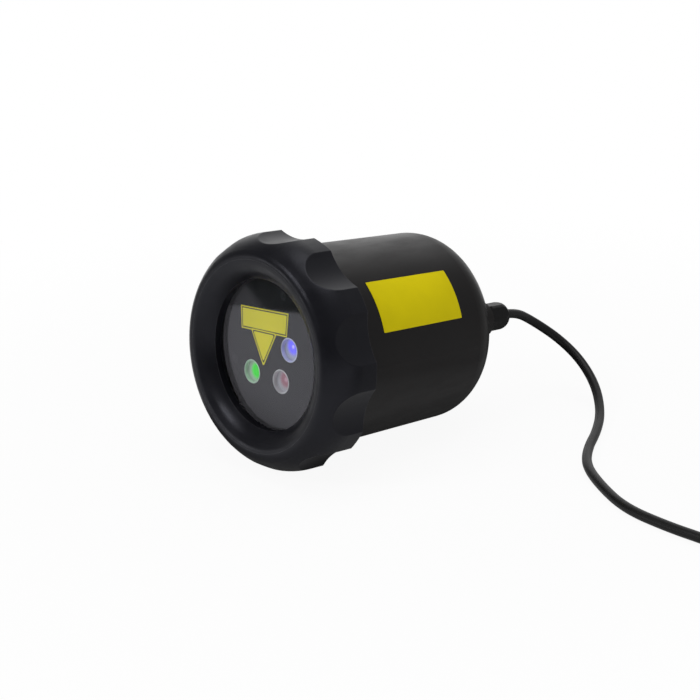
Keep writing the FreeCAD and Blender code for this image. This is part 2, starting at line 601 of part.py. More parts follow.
def make_block():
    """Heat sink block that carries the lasers and the motor, screwed to the housing's bosses."""
    disc = rod("block_disc", BLOCK_R, BLOCK_Y, BLOCK_REAR)
    before, past = f"({BLOCK_Y} - 1)", f"({BLOCK_REAR} + 1)"
    tools = [rod(f"block_bore_{colour}", "(barrel_radius + press_gap)", before, past, *BEAMS[colour])
             for colour in COLOURS]
    tools.append(rod("motor_bore", f"({MOTOR_R} + running_gap)", MOTOR_Y, past, "cluster_x", "cluster_z"))
    tools.append(rod("motor_boss_bore", "(motor_boss + running_gap)", before, past, "cluster_x", "cluster_z"))
    for i, (x, z) in enumerate(BOSSES):
        tools.append(rod(f"block_hole_{i}", "(screw_shank + running_gap)", before, past, x, z))
        tools.append(rod(f"block_counterbore_{i}", "(screw_head + running_gap)", before,
                         f"({BLOCK_REAR} - screw_head)", x, z))
    for i, (x, z) in enumerate(MOTOR_SCREWS):
        tools.append(rod(f"motor_hole_{i}", "(screw_shank + running_gap)", before, past, x, z))
        tools.append(rod(f"motor_counterbore_{i}", "(screw_head + running_gap)", before,
                         f"({BLOCK_Y} + screw_head_depth)", x, z))
    piece("heat_sink_block", cut("heat_sink_block", disc, tools))
    seat = f"({BLOCK_REAR} - screw_head - screw_head_depth)"
    piece("block_screws", group("block_screws", screws("block", BOSSES, seat)))


MOTOR_SCREWS = [(f"(cluster_x + {sign} motor_screw_offset)", "cluster_z") for sign in ("0 +", "0 -")]


def make_lasers():
    """Three laser barrels with their lenses and diodes."""
    for colour in COLOURS:
        barrel = turned_body(f"laser_barrel_{colour}", stepped(
            ("barrel_nose", BARREL_Y), ("barrel_radius", BARREL_REAR), front=NOSE_Y, inner="beam_bore"))
        piece(f"laser_barrel_{colour}", barrel, *BEAMS[colour])
        lens_y = f"({NOSE_Y} + lens_depth)"
        lens = turned_body(f"laser_lens_{colour}", ring("0", "(beam_bore - press_gap)", lens_y,
                                                        f"({lens_y} + lens_thickness)"))
        piece(f"laser_lens_{colour}", lens, *BEAMS[colour])
    diodes = [rod(f"diode_{colour}", "diode_radius", BARREL_REAR, f"({BARREL_REAR} + diode_length)", *BEAMS[colour])
              for colour in COLOURS]
    piece("laser_diodes", group("laser_diodes", diodes))


def make_motor():
    """Grating motor behind the block's web, with its screws."""
    can = turned_body("motor_can", stepped(
        ("motor_boss", MOTOR_Y), (MOTOR_R, f"({MOTOR_Y} + motor_length)"), front=BLOCK_Y,
        inner="(shaft_radius + running_gap)"))
    holes = [rod(f"motor_tapping_{i}", "(screw_shank + press_gap)", f"({MOTOR_Y} - 1)",
                 f"({MOTOR_Y} + screw_length)", f"{x} - cluster_x", f"{z} - cluster_z")
             for i, (x, z) in enumerate(MOTOR_SCREWS)]
    piece("motor_body", cut("motor_body", can, holes), "cluster_x", "cluster_z")
    piece("motor_screws", group("motor_screws", screws("motor", MOTOR_SCREWS, BLOCK_Y)))
    shaft = turned_body("motor_shaft", ring("0", "shaft_radius", GEAR_Y, f"({MOTOR_Y} + motor_length / 2)"))
    piece("motor_shaft", shaft, "cluster_x", "cluster_z")


def cut_teeth(body, teeth, phase):
    """Cuts the tooth spaces of a gear into a turned blank; phase is the angle of one space."""
    pitch_r = f"({GEAR_MODULE} * {teeth} / 2)"
    root = f"({pitch_r} - 1.25 * {GEAR_MODULE})"
    tip = f"({pitch_r} + 1.6 * {GEAR_MODULE})"
    gap = f"({pitch_r} * 3.14159265 * (1 - tooth_share) / {teeth})"
    slope = "tan(20)"
    sketch = new_sketch(body, "XZ_Plane")
    draw_outline(sketch, [
        line_to(tip, f"({gap} + 1.6 * {GEAR_MODULE} * {slope} + 1)"),
        line_to(root, f"({gap} - 1.25 * {GEAR_MODULE} * {slope} + 1)"),
        line_to(root, f"(1 - {gap} + 1.25 * {GEAR_MODULE} * {slope})"),
        line_to(tip, f"(1 - {gap} - 1.6 * {GEAR_MODULE} * {slope})"),
    ])
    sketch.AttachmentOffset = FreeCAD.Placement(
        FreeCAD.Rotation(Vector(0, 0, 1), phase).multVec(Vector(0, -1, 0)), FreeCAD.Rotation(Vector(0, 0, 1), phase))
    pocket = body.newObject("PartDesign::Pocket", f"{body.Name}_space")
    pocket.Profile = sketch
    pocket.Type = "ThroughAll"
    pocket.Midplane = True
    pattern = body.newObject("PartDesign::PolarPattern", f"{body.Name}_teeth")
    pattern.Originals = [pocket]
    pattern.Axis = (next(f for f in body.Origin.OriginFeatures if f.Role == "Y_Axis"), [""])
    pattern.Angle = 360
    pattern.setExpression("Occurrences", bound(teeth))
    body.Tip = pattern
    doc.recompute()


def make_gears():
    """Drive gear on the motor shaft, and a gear round each grating that it turns."""
    drive_tip = f"({GEAR_MODULE} * (drive_teeth / 2 + 1))"
    drive = turned_body("drive_gear", stepped(
        (drive_tip, GEAR_REAR), ("hub_radius", f"({GEAR_REAR} + hub_length)"), front=GEAR_Y,
        inner="(shaft_radius + press_gap)"))
    cut_teeth(drive, "drive_teeth", 180 / size("drive_teeth"))
    piece("drive_gear", drive, "cluster_x", "cluster_z")
    tip = f"({GEAR_MODULE} * (grating_teeth / 2 + 1))"
    disc_rear = f"({GEAR_Y} + grating_thickness)"
    for colour in COLOURS:
        gear = turned_body(f"grating_gear_{colour}", [
            line_to("(grating_radius + press_gap)", GEAR_Y),
            line_to(tip, GEAR_Y),
            line_to(tip, GEAR_REAR),
            line_to("(barrel_nose + running_gap)", GEAR_REAR),
            line_to("(barrel_nose + running_gap)", disc_rear),
            line_to("(grating_radius + press_gap)", disc_rear),
        ])
        cut_teeth(gear, "grating_teeth", meshed_space(size(f"{colour}_angle")))
        piece(f"grating_gear_{colour}", gear, *BEAMS[colour])
        disc = turned_body(f"grating_disc_{colour}", ring("0", "grating_radius", GEAR_Y, disc_rear))
        piece(f"grating_disc_{colour}", disc, *BEAMS[colour])


def meshed_space(angle):
    """Angle of the tooth space that faces a drive gear with a tooth at angle 0, for a gear in that direction."""
    ahead = (angle * size("drive_teeth") / 360) % 1
    return angle + 180 + ahead * 360 / size("grating_teeth")


def make_board():
    """Driver board on posts behind the block, with its screws, components and the lead from the gland."""
    disc = rod("board_disc", BOARD_R, BOARD_Y, BOARD_REAR)
    holes = [rod(f"board_hole_{i}", "(screw_shank + running_gap)", f"({BOARD_Y} - 1)", f"({BOARD_REAR} + 1)", x, z)
             for i, (x, z) in enumerate(POSTS)]
    piece("driver_board", cut("driver_board", disc, holes))
    posts = [cut(f"board_post_{i}", rod(f"board_post_rod_{i}", "post_radius", BLOCK_REAR, BOARD_Y, x, z),
                 [rod(f"board_post_hole_{i}", "(screw_shank + press_gap)", f"({BOARD_Y} - screw_length)",
                      f"({BOARD_Y} + 1)", x, z)]) for i, (x, z) in enumerate(POSTS)]
    piece("board_posts", group("board_posts", posts))
    made = []
    for i, (x, z) in enumerate(POSTS):
        head = rod(f"board_head_{i}", "screw_head", BOARD_REAR, f"({BOARD_REAR} + screw_head_depth)", x, z)
        shank = rod(f"board_shank_{i}", "screw_shank", f"({BOARD_REAR} - screw_length)", BOARD_REAR, x, z)
        made.append(joined(f"board_screw_{i}", [head, shank]))
    piece("board_screws", group("board_screws", made))
    half = "terminal_width / 2"
    terminal = block("terminal_block", ("terminal_width", "terminal_height", "terminal_width"),
                     (f"{GLAND_X} - {half}", BOARD_REAR, f"{GLAND_Z} - {half}"))
    chips = [block(f"chip_{i}", ("chip_width", "chip_height", "chip_width"),
                   (f"{i} * 1.5 * chip_width - chip_width / 2", BOARD_REAR, "0 - coil_radius - 2 * chip_width"))
             for i in (-1, 0, 1)]
    tall = rod("capacitor", "capacitor_radius", BOARD_REAR, f"({BOARD_REAR} + capacitor_height)", "0",
               f"{BOARD_R} - 2 * capacitor_radius")
    choke = rod("inductor", "coil_radius", BOARD_REAR, f"({BOARD_REAR} + coil_height)", "0 - coil_radius", "0")
    piece("board_components", group("board_components", [terminal, tall, choke] + chips))
    piece("inner_lead", turned_body("inner_lead", ring("0", "cord_radius", TERMINAL_Y, NUT_REAR)), GLAND_X, GLAND_Z)


# The cord's route on the floor, as chosen points: sideways and rearwards from the gland's mouth, and height.
EXIT_RUN = 9.8
ROUTE = (
    (-1.1, 24.3, 42.1),
    (9.0, 35.5, 31.0),
    (23.3, 37.5, 21.0),
    (38.4, 32.1, 11.0),
    (54.5, 16.6, 4.3),
    (67.7, -3.2, 2.6),
    (78.6, -24.0, 2.6),
    (91.7, -41.4, 2.6),
    (112.1, -55.7, 2.6),
    (136.8, -68.4, 2.6),
    (163.0, -71.4, 2.8),
    (184.0, -72.0, 3.4),
    (202.0, -72.0, 3.4),
)


def rounded_path(points):
    """Wire of straight runs joined by tangent arcs, each as large as its two runs allow."""
    edges = []
    start = points[0]
    radii = []
    for before, corner, after in zip(points, points[1:], points[2:]):
        come = (corner - before).normalize()
        leave = (after - corner).normalize()
        reach = 0.45 * min((corner - before).Length, (after - corner).Length)
        half_turn = come.getAngle(leave) / 2
        radius = reach / math.tan(half_turn)
        inward = (leave - come).normalize()
        middle = corner + inward * (radius / math.cos(half_turn) - radius)
        first, last = corner - come * reach, corner + leave * reach
        edges.append(Part.LineSegment(start, first).toShape())
        edges.append(Part.Arc(first, middle, last).toShape())
        start = last
        radii.append(round(radius, 1))
    edges.append(Part.LineSegment(start, points[-1]).toShape())
    print("cord radii", radii)
    return Part.Wire(edges)


def swept_tube(name, wire, radius):
    """A tube along a wire, compared with its section times its length."""
    start = wire.Edges[0]
    ahead = start.tangentAt(start.FirstParameter)
    section = Part.Wire(Part.Circle(start.valueAt(start.FirstParameter), ahead, radius).toShape())
    tube = wire.makePipeShell([section], True, False)
    expected = math.pi * radius ** 2 * wire.Length
    print(name, "length", round(wire.Length, 1), "volume over section times length", round(tube.Volume / expected, 4))
    return tube


def coil_path(start):
    """Semicircles that spiral in on the floor, climb, and spiral out on top, with a straight run at each end."""
    half_turns = int(size("coil_half_turns"))
    step = size(COIL_STEP)
    along = Vector(1, 0, 0)
    across = Vector(0, 1, 0)
    here = start + along * size("coil_end")
    edges = [Part.LineSegment(start, here).toShape()]
    radii = [size("coil_outer") - i * step / 2 for i in range(half_turns)]
    turns = [(r, 0.0) for r in radii] + [(radii[-1] - step / 2, step)] + [(r, 0.0) for r in reversed(radii)]
    side = 1
    for radius, climb in turns:
        there = here + across * (2 * radius * side) + Vector(0, 0, climb)
        centre = (here + there) / 2
        bulge = centre + along * (side * (there - here).Length / 2)
        edges.append(Part.Arc(here, bulge, there).toShape())
        here = there
        side = -side
    there = here + along * (side * size("coil_tail"))
    edges.append(Part.LineSegment(here, there).toShape())
    return Part.Wire(edges), there, side


def least_self_gap(wire, radius):
    """Least gap between turns of a tube, measured on points spaced along its centre line."""
    spacing = 1.5
    points = wire.discretize(Number=int(wire.Length / spacing))
    skip = int(8 * radius / spacing)
    least = min((a - b).Length for i, a in enumerate(points) for b in points[i + skip:])
    return least - 2 * radius


def feature(name, shape, placement=None):
    """A sub-part whose shape is swept by the script; it stays where it was drawn."""
    made = doc.addObject("Part::Feature", name)
    made.Label = name
    made.Shape = shape
    if placement:
        made.Placement = placement
    return made


def make_cord(exit_point, exit_direction):
    """Supply cord from the gland to the floor, the put-away coil with its strap, and the plug."""
    radius = size("cord_radius")
    points = [exit_point, exit_point + exit_direction * EXIT_RUN]
    points += [Vector(exit_point.x + x, exit_point.y + y, z) for x, y, z in ROUTE]
    made = [feature("power_cord", swept_tube("power_cord", rounded_path(points), radius))]
    wire, end, side = coil_path(points[-1])
    made.append(feature("cord_coil", swept_tube("cord_coil", wire, radius)))
    print("coil least gap to itself", round(least_self_gap(wire, radius), 2))
    made.append(coil_tie(wire))
    made += make_plug(end, side)
    return made


def coil_tie(wire):
    """Flat strap round all the turns on the coil's far side."""
    box = wire.BoundBox
    room = size("cord_radius") + size("tie_gap")
    thick, width = size("tie_thickness"), size("tie_width")
    inner_r = size("coil_outer") - (size("coil_half_turns") + 1) * size(COIL_STEP) / 2 - size(COIL_STEP)
    middle_x = wire.Vertexes[1].X
    middle_y = (box.YMin + box.YMax) / 2
    low = Vector(middle_x + inner_r - room, middle_y - width / 2, box.ZMin - room)
    high = Vector(box.XMax + room, middle_y + width / 2, box.ZMax + room)
    inside = Part.makeBox(high.x - low.x, width, high.z - low.z, low)
    outside = Part.makeBox(high.x - low.x + 2 * thick, width, high.z - low.z + 2 * thick,
                           low - Vector(thick, 0, thick))
    return feature("coil_tie", outside.cut(inside))


def make_plug(end, side):
    """Round two-pole plug lying at the end of the coil, with its collar and pins."""
    lay = FreeCAD.Placement(end, FreeCAD.Rotation(Vector(0, 1, 0), Vector(side, 0, 0)))
    relief, body_end = "plug_relief", "(plug_relief + plug_body)"
    body = turned_body("plug_housing", [
        line_to("0", "0"),
        line_to("(cord_radius + seal_wall)", "0"),
        line_to("plug_body_radius", relief),
        line_to("plug_body_radius", body_end),
        line_to("0", body_end),
    ])
    collar_y = f"({body_end} - plug_collar / 2)"
    collar = turned_body("plug_collar", ring("(plug_body_radius + running_gap)", "plug_collar_radius", collar_y,
                                             f"({collar_y} + plug_collar)"))
    pins = group("plug_pins", [rod(f"plug_pin_{i}", "pin_radius", body_end, f"({body_end} + pin_length)",
                                   f"0 {sign} pin_offset") for i, sign in enumerate("+-")])
    made = []
    for name, thing in (("plug_body", body), ("plug_collar", collar), ("plug_pins", pins)):
        thing.Label = name
        thing.Placement = lay
        made.append(thing)
    return made


def rest_tilt():
    """Tilt at which the bezel's lowest lands and the rear corner both touch the floor."""
    scallop_r = size("scallop_radius")
    centre_r = size(f"{BEZEL_R} - scallop_depth + scallop_radius")
    land_r = size(BEZEL_R)
    lowest = (land_r ** 2 + centre_r ** 2 - scallop_r ** 2) / (2 * centre_r)
    fall = lowest - size(CORNER_R)
    back = size(CORNER_Y) - size(BEZEL_REAR)
    return math.acos(size("corner_radius") / math.hypot(fall, back)) - math.atan2(back, fall), lowest


def lay_down():
    """Places every piece on the floor, the origin under the middle of the projector."""
    tilt, lowest = rest_tilt()
    turn = FreeCAD.Rotation(Vector(1, 0, 0), -math.degrees(tilt))
    lift = -turn.multVec(Vector(0, size(BEZEL_REAR), -lowest)).z
    front = turn.multVec(Vector(0, 0, size(CREST_R))).y
    foot = turn.multVec(Vector(0, 0, -size(CREST_R))).y
    rear = turn.multVec(Vector(0, size(NUT_REAR), size(GLAND_Z) + size(CORD_HOLE))).y
    middle = (min(front, foot) + rear) / 2
    rest = FreeCAD.Placement(Vector(0, -middle, lift), turn)
    for thing, x, z in PIECES.values():
        thing.Placement = rest.multiply(FreeCAD.Placement(Vector(size(x), 0, size(z)), FreeCAD.Rotation()))
    return rest


def main():
    make_bezel()
    make_window()
    make_housing()
    make_mount_insert()
    make_gland()
    make_panel()
    make_block()
    make_lasers()
    make_motor()
    make_gears()
    make_board()
    rest = lay_down()
    mouth = rest.multVec(Vector(size(GLAND_X), size(NUT_REAR), size(GLAND_Z)))
    cords = make_cord(mouth, rest.Rotation.multVec(Vector(0, 1, 0)))
    doc.recompute()
    for item in doc.Objects:
        if "Invalid" in item.State or "Error" in item.State:
            raise RuntimeError(f"{item.Name} did not build: {item.State}")
    finished = [entry[0] for entry in PIECES.values()] + cords
    for item in finished:
        if item.Shape.isNull() or not item.Shape.isValid():
            raise RuntimeError(f"{item.Label} has no valid shape")
    os.makedirs("parts", exist_ok=True)
    for item in finished:
        item.Shape.exportStep(os.path.join("parts", f"{item.Label}.step"))
    print(len(finished), "pieces")


main()
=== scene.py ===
"""Looks of the laser show projector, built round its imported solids.

Lengths are in metres in the frame of the solids. Places on the projector itself are given in
millimetres on its own axes: across towards the cord side, back from the bezel's crest, and up.
"""

import json
import math

import bmesh
import bpy
from bpy.props import FloatProperty, FloatVectorProperty, IntProperty, PointerProperty
from mathutils import Matrix, Vector


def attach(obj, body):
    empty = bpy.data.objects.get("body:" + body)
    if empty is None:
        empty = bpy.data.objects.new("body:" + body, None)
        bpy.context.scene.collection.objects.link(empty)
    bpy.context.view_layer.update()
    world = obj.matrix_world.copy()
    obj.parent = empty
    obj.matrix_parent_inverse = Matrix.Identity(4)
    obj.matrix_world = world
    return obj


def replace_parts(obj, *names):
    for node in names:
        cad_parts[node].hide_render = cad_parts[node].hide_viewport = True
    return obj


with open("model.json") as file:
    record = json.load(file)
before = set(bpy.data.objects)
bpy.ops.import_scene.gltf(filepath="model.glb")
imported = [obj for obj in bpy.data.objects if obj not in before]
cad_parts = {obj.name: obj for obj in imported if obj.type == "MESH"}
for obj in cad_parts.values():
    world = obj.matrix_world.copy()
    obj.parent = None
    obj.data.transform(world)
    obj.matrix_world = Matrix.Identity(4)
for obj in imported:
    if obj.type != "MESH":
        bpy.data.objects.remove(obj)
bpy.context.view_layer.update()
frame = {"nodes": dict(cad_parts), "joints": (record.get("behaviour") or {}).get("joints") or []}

bl_info = {
    "name": "Laser show projector",
    "version": (1, 0, 0),
    "blender": (4, 5, 0),
    "location": "View3D > Sidebar > Projector",
    "description": "Dresses the solids of a laser show projector with its finishes and small pieces",
    "category": "Object",
}

MM = 0.001
TURN = next(joint for joint in frame["joints"] if joint["name"] == "bezel_turn")
FORWARD = Vector(TURN["axis"])
REAR = -FORWARD
ACROSS = Vector((1.0, 0.0, 0.0))
UPWARD = ACROSS.cross(REAR)
CREST = Vector(TURN["pos_m"]) + FORWARD * 20 * MM
PANEL_FACE = 13.0
CORD_EXIT = Vector((27.043, 78.607, 51.453)) * MM
PLUG_START = Vector((220.043, 80.607, 9.1)) * MM
PLUG_WAY = Vector((-1.0, 0.0, 0.0))
MOUNT = Vector((0.0, -7.45, 3.882)) * MM
BEAMS = {"blue": (11.99, 4.21), "green": (-15.81, -12.96), "red": (6.47, -13.13)}
INK_WIDTH = 0.5 * MM
NO_LINE = -4 * MM
CREASE = 32.0
RIDGE_ROOT = 0.05 * MM
RIDGE_FADE = 14.0
STRAIGHT_OUT = 9.8 * MM
STRAIGHT_IN = 7 * MM
COIL_LEAD_IN = 6 * MM
COIL_POINTS = 8
# The cord's way over the floor, in millimetres off its exit: across, back and height.
ROUTE = (
    (-1.1, 24.3, 42.1), (9.0, 35.5, 31.0), (23.3, 37.5, 21.0), (38.4, 32.1, 11.0), (54.5, 16.6, 4.3),
    (67.7, -3.2, 2.6), (78.6, -24.0, 2.6), (91.7, -41.4, 2.6), (112.1, -55.7, 2.6), (136.8, -68.4, 2.6),
    (163.0, -71.4, 2.8), (184.0, -72.0, 3.4), (202.0, -72.0, 3.4),
)


def spot(across, back, up):
    """A place on the projector's own axes, given in millimetres."""
    return CREST + (ACROSS * across + REAR * back + UPWARD * up) * MM


def measure(name, description, default):
    """A length property in metres."""
    return FloatProperty(name=name, description=description, default=default, unit="LENGTH")


def colour(name, description, default):
    """A colour property in linear values."""
    return FloatVectorProperty(name=name, description=description, default=default, subtype="COLOR",
                               size=3, min=0.0, max=1.0)


class ProjectorSizes(bpy.types.PropertyGroup):
    """Sizes of the pieces that the solids leave to the scene."""

    lead_length: measure("Lead length", "Whole length of the supply cord", 1.5)
    lead_width: measure("Lead width", "Diameter of the supply cord", 5 * MM)
    coil_radius: measure("Coil radius", "Middle of the coil's outer turn", 37 * MM)
    coil_step: measure("Coil step", "How much each half turn is smaller", 2.85 * MM)
    coil_layer: measure("Coil layer", "Height between the coil's two layers", 5.7 * MM)
    coil_halves: IntProperty(
        name="Half turns", description="Half turns in each layer of the coil", default=6, min=1)
    pane_step: measure("Pane step", "How far the glass stands up into the lip", 1.6 * MM)
    bevel_crown: measure("Bevel crown", "Bulge of the bevel round the window", 1.0 * MM)
    sticker_sheet: measure("Sticker sheet", "Thickness of the stickers", 0.12 * MM)
    sticker_corner: measure("Sticker corner", "Corner radius of the side sticker", 0.5 * MM)
    sticker_line: measure("Sticker line", "Distance of the printed line from the edge", 0.7 * MM)
    bush_bore: measure("Bush bore", "Inner radius of the aperture bushes", 5.55 * MM)
    bush_rim: measure("Bush rim", "Outer radius of the aperture bushes", 6.15 * MM)
    thread_pitch: measure("Thread pitch", "Pitch of the bezel's thread on the neck", 3 * MM)
    thread_height: measure("Thread height", "Height of the thread's ridge", 0.22 * MM)
    strap_sheet: measure("Strap sheet", "Thickness of the coil's strap", 0.6 * MM)


class ProjectorColours(bpy.types.PropertyGroup):
    """Colours of the finishes."""

    bezel: colour("Bezel", "Bluish black satin paint of the bezel", (0.0050, 0.0051, 0.0070))
    housing: colour("Housing", "Warm black satin paint of the housing", (0.0056, 0.0051, 0.0051))
    panel: colour("Panel", "Dark plate behind the glass", (0.0075, 0.0075, 0.0088))
    sticker: colour("Side sticker", "Yellow of the plain sticker on the housing", (0.73, 0.61, 0.0015))
    panel_sticker: colour("Panel sticker", "Yellow of the plain sticker on the panel", (0.92, 0.78, 0.0015))
    sticker_ink: colour("Sticker line", "Dark printed line on the stickers", (0.02, 0.018, 0.014))
    nylon: colour("Nylon", "Black nylon of gland and plug", (0.0052, 0.0052, 0.0056))
    rubber: colour("Rubber", "Black rubber of seals", (0.010, 0.010, 0.0105))
    jacket: colour("Jacket", "Black jacket of the cord", (0.0065, 0.0065, 0.0068))
    bush: colour("Bush", "Pale plastic round the apertures", (0.74, 0.74, 0.77))
    # The three glows are painted light: emission on the grating discs and a tint on the bushes, with no lamp
    # behind them.
    blue_glow: colour("Blue glow", "Light of the blue aperture", (0.13, 0.11, 0.90))
    green_glow: colour("Green glow", "Light of the green aperture", (0.006, 0.66, 0.002))
    red_glow: colour("Red glow", "Light of the red aperture", (0.20, 0.07, 0.10))


class Signal:
    """A shader socket that takes part in Python sums, which add Math nodes."""

    def __init__(self, finish, socket):
        self.finish = finish
        self.socket = socket

    def sum(self, operation, *terms):
        return self.finish.node("ShaderNodeMath", {"operation": operation}, dict(enumerate(terms)))

    def __add__(self, other):
        return self.sum("ADD", self, other)

    def __radd__(self, other):
        return self.sum("ADD", other, self)

    def __sub__(self, other):
        return self.sum("SUBTRACT", self, other)

    def __rsub__(self, other):
        return self.sum("SUBTRACT", other, self)

    def __mul__(self, other):
        return self.sum("MULTIPLY", self, other)

    def larger(self, other):
        return self.sum("MAXIMUM", self, other)

    def rise(self, low, high):
        """Goes smoothly from 0 at low to 1 at high."""
        return self.finish.node("ShaderNodeMapRange", {"interpolation_type": "SMOOTHSTEP"},
                                {"Value": self, "From Min": low, "From Max": high})


class Finish:
    """A node tree under construction, for a material or the world."""

    def __init__(self, owner):
        owner.use_nodes = True
        self.owner = owner
        self.tree = owner.node_tree
        self.tree.nodes.clear()

    def node(self, kind, settings=None, sockets=None, output=0):
        """Adds a node: its settings first, then values or links of its sockets."""
        made = self.tree.nodes.new(kind)
        for key, value in (settings or {}).items():
            setattr(made, key, value)
        for key, value in (sockets or {}).items():
            if isinstance(value, Signal):
                self.tree.links.new(value.socket, made.inputs[key])
            else:
                made.inputs[key].default_value = value
        return Signal(self, made.outputs[output])

    def position(self):
        """The surface's own place, which moves with the piece."""
        return self.node("ShaderNodeTexCoord", output=3)

    def noise(self, place, scale, detail=2.0, roughness=0.5):
        return self.node("ShaderNodeTexNoise", None,
                         {"Vector": place, "Scale": scale, "Detail": detail, "Roughness": roughness})

    def wave(self, place, way, scale):
        """Bands across a direction."""
        return self.node("ShaderNodeTexWave", {"bands_direction": way}, {"Vector": place, "Scale": scale}, 1)

    def dot(self, first, second):
        return self.node("ShaderNodeVectorMath", {"operation": "DOT_PRODUCT"}, {0: first, 1: second}, 1)

    def stretch(self, place, factors):
        return self.node("ShaderNodeVectorMath", {"operation": "MULTIPLY"}, {0: place, 1: factors})

    def blend(self, factor, first, second):
        """Mixes two colours."""
        return self.node("ShaderNodeMix", {"data_type": "RGBA"},
                         {0: factor, 6: whole(first), 7: whole(second)}, 2)

    def edges(self, radius):
        """1 on edges narrower than the radius, 0 on open faces."""
        rounded = self.node("ShaderNodeBevel", {"samples": 6}, {"Radius": radius})
        plain = self.node("ShaderNodeNewGeometry", output=1)
        return (1.0 - self.dot(rounded, plain)).rise(0.015, 0.22)

    def bump(self, height, distance, strength):
        return self.node("ShaderNodeBump", None,
                         {"Height": height, "Distance": distance, "Strength": strength})

    def rays(self):
        """Signals that are 1 for rays straight from the camera, in gloss and through glass."""
        outputs = self.tree.nodes.new("ShaderNodeLightPath").outputs
        kinds = ("Is Camera Ray", "Is Glossy Ray", "Is Transmission Ray")
        return [Signal(self, outputs[kind]) for kind in kinds]

    def mix(self, factor, first, second):
        """Mixes two shaders."""
        return self.node("ShaderNodeMixShader", None, {0: factor, 1: first, 2: second})

    def surface(self, shade, rough, normal, others):
        """Closes the tree with a Principled shader and returns the material."""
        sockets = {"Base Color": shade, "Roughness": rough, "Normal": normal, **others}
        return self.close(self.node("ShaderNodeBsdfPrincipled", None, sockets))

    def close(self, shader, kind="ShaderNodeOutputMaterial"):
        """Links the tree's last shader to its output and returns what owns the tree."""
        made = self.tree.nodes.new(kind)
        self.tree.links.new(shader.socket, made.inputs["Surface"])
        return self.owner


def whole(tone):
    """A colour with its fourth value, or a signal as it is."""
    if isinstance(tone, Signal):
        return tone
    return (*tone[:3], 1.0)


def lighter(tone, factor):
    return tuple(min(1.0, part * factor) for part in tone[:3])


def new_finish(name):
    """A material's finish and the place on its surface, to start from."""
    finish = Finish(bpy.data.materials.new(name))
    return finish, finish.position()


def satin_paint(name, tone, worn_and_highlit_tone, grain, gloss, sheen):
    """Sprayed satin paint: fine grain, faint cloudiness, handling smears, and paler edges that are partly
    wear and partly a painted highlight.
    """
    finish, place = new_finish(name)
    cloud = finish.noise(place, 34.0, 4.0)
    smear = finish.noise(finish.stretch(place, (1.0, 0.35, 1.6)), 90.0, 3.0, 0.6)
    specks = finish.noise(place, grain, 2.0, 0.6)
    # Paler edges: partly wear, partly a painted highlight along the edges.
    worn_and_highlit = finish.edges(0.55 * MM) * (0.4 + finish.noise(place, 260.0, 3.0).rise(0.35, 0.7) * 0.6)
    tint = finish.blend(cloud.rise(0.3, 0.75), lighter(tone, 0.86), lighter(tone, 1.22))
    flecked = finish.blend(specks.rise(0.62, 0.8) * 0.5, tint, lighter(tone, 2.1))
    shade = finish.blend(worn_and_highlit * 0.55, flecked, worn_and_highlit_tone)
    rough = gloss + smear.rise(0.35, 0.7) * 0.09 + (specks - 0.5) * 0.08
    normal = finish.bump(specks + cloud * 0.15, 0.05 * MM, 0.35)
    return finish.surface(shade, rough, normal, {"Specular IOR Level": 0.22, "Specular Tint": whole(sheen)})


def moulded(name, tone, grain, rough, gloss=0.25):
    """Moulded plastic or rubber with a fine eroded texture and slightly polished edges."""
    finish, place = new_finish(name)
    pits = finish.noise(place, grain, 3.0, 0.65)
    patch = finish.noise(place, 120.0, 3.0)
    rim = finish.edges(0.35 * MM)
    shade = finish.blend(patch.rise(0.3, 0.7), lighter(tone, 0.82), lighter(tone, 1.25))
    shade = finish.blend(rim * 0.4, shade, lighter(tone, 2.4))
    level = rough + (pits - 0.5) * 0.16 - rim * 0.08
    return finish.surface(shade, level, finish.bump(pits, 0.06 * MM, 0.5), {"Specular IOR Level": gloss})


def cord_jacket(name, tone):
    """Extruded cord jacket: faint drawn streaks, dust and a soft gloss."""
    finish, place = new_finish(name)
    streak = finish.noise(finish.stretch(place, (1.0, 1.0, 4.0)), 420.0, 3.0)
    dust = finish.noise(place, 70.0, 4.0, 0.6)
    shade = finish.blend(dust.rise(0.45, 0.8) * 0.6, tone, lighter(tone, 2.2))
    normal = finish.bump(streak, 0.05 * MM, 0.3)
    return finish.surface(shade, 0.32 + dust * 0.16, normal, {"Specular IOR Level": 0.24})


def machined(name, tone, rough, drawn, pitch):
    """Machined metal with drawn-out tool lines."""
    finish, place = new_finish(name)
    tool = finish.noise(finish.stretch(place, (1.0, drawn, 1.0)), pitch, 2.0, 0.6)
    haze = finish.noise(place, 55.0, 3.0)
    shade = finish.blend(haze, lighter(tone, 0.82), lighter(tone, 1.08))
    normal = finish.bump(tool, 0.03 * MM, 0.4)
    return finish.surface(shade, rough + (tool - 0.5) * 0.22, normal, {"Metallic": 1.0})


def window_pane(name, share):
    """Clear pane with a trace of wiping marks. Each face has its share of what the glass reflects."""
    finish, place = new_finish(name)
    wiped = finish.noise(finish.stretch(place, (1.0, 1.0, 0.3)), 60.0, 3.0)
    behind = finish.node("ShaderNodeNewGeometry", output=6)
    slant = finish.node("ShaderNodeFresnel", None, {"IOR": 1.46}) * (1.0 - behind)
    clear = finish.node("ShaderNodeBsdfTransparent", None, {"Color": (0.964, 0.975, 0.975, 1.0)})
    gloss = finish.node("ShaderNodeBsdfPrincipled", None,
                        {"Base Color": (0.93, 0.905, 1.0, 1.0), "Metallic": 1.0,
                         "Roughness": 0.02 + wiped * 0.03})
    return finish.close(finish.mix(slant * (1.2 + wiped * 0.2) * share, clear, gloss))


def lens_glass(name):
    """Small pressed lens with a faint coating tint."""
    finish, place = new_finish(name)
    film = finish.noise(place, 300.0, 2.0)
    tint = finish.blend(film, (0.55, 0.62, 0.75), (0.70, 0.72, 0.82))
    return finish.close(finish.node("ShaderNodeBsdfPrincipled", None, {
        "Base Color": tint, "Roughness": 0.05 + film * 0.05, "Alpha": 0.45 + film * 0.1,
        "Coat Weight": film}))


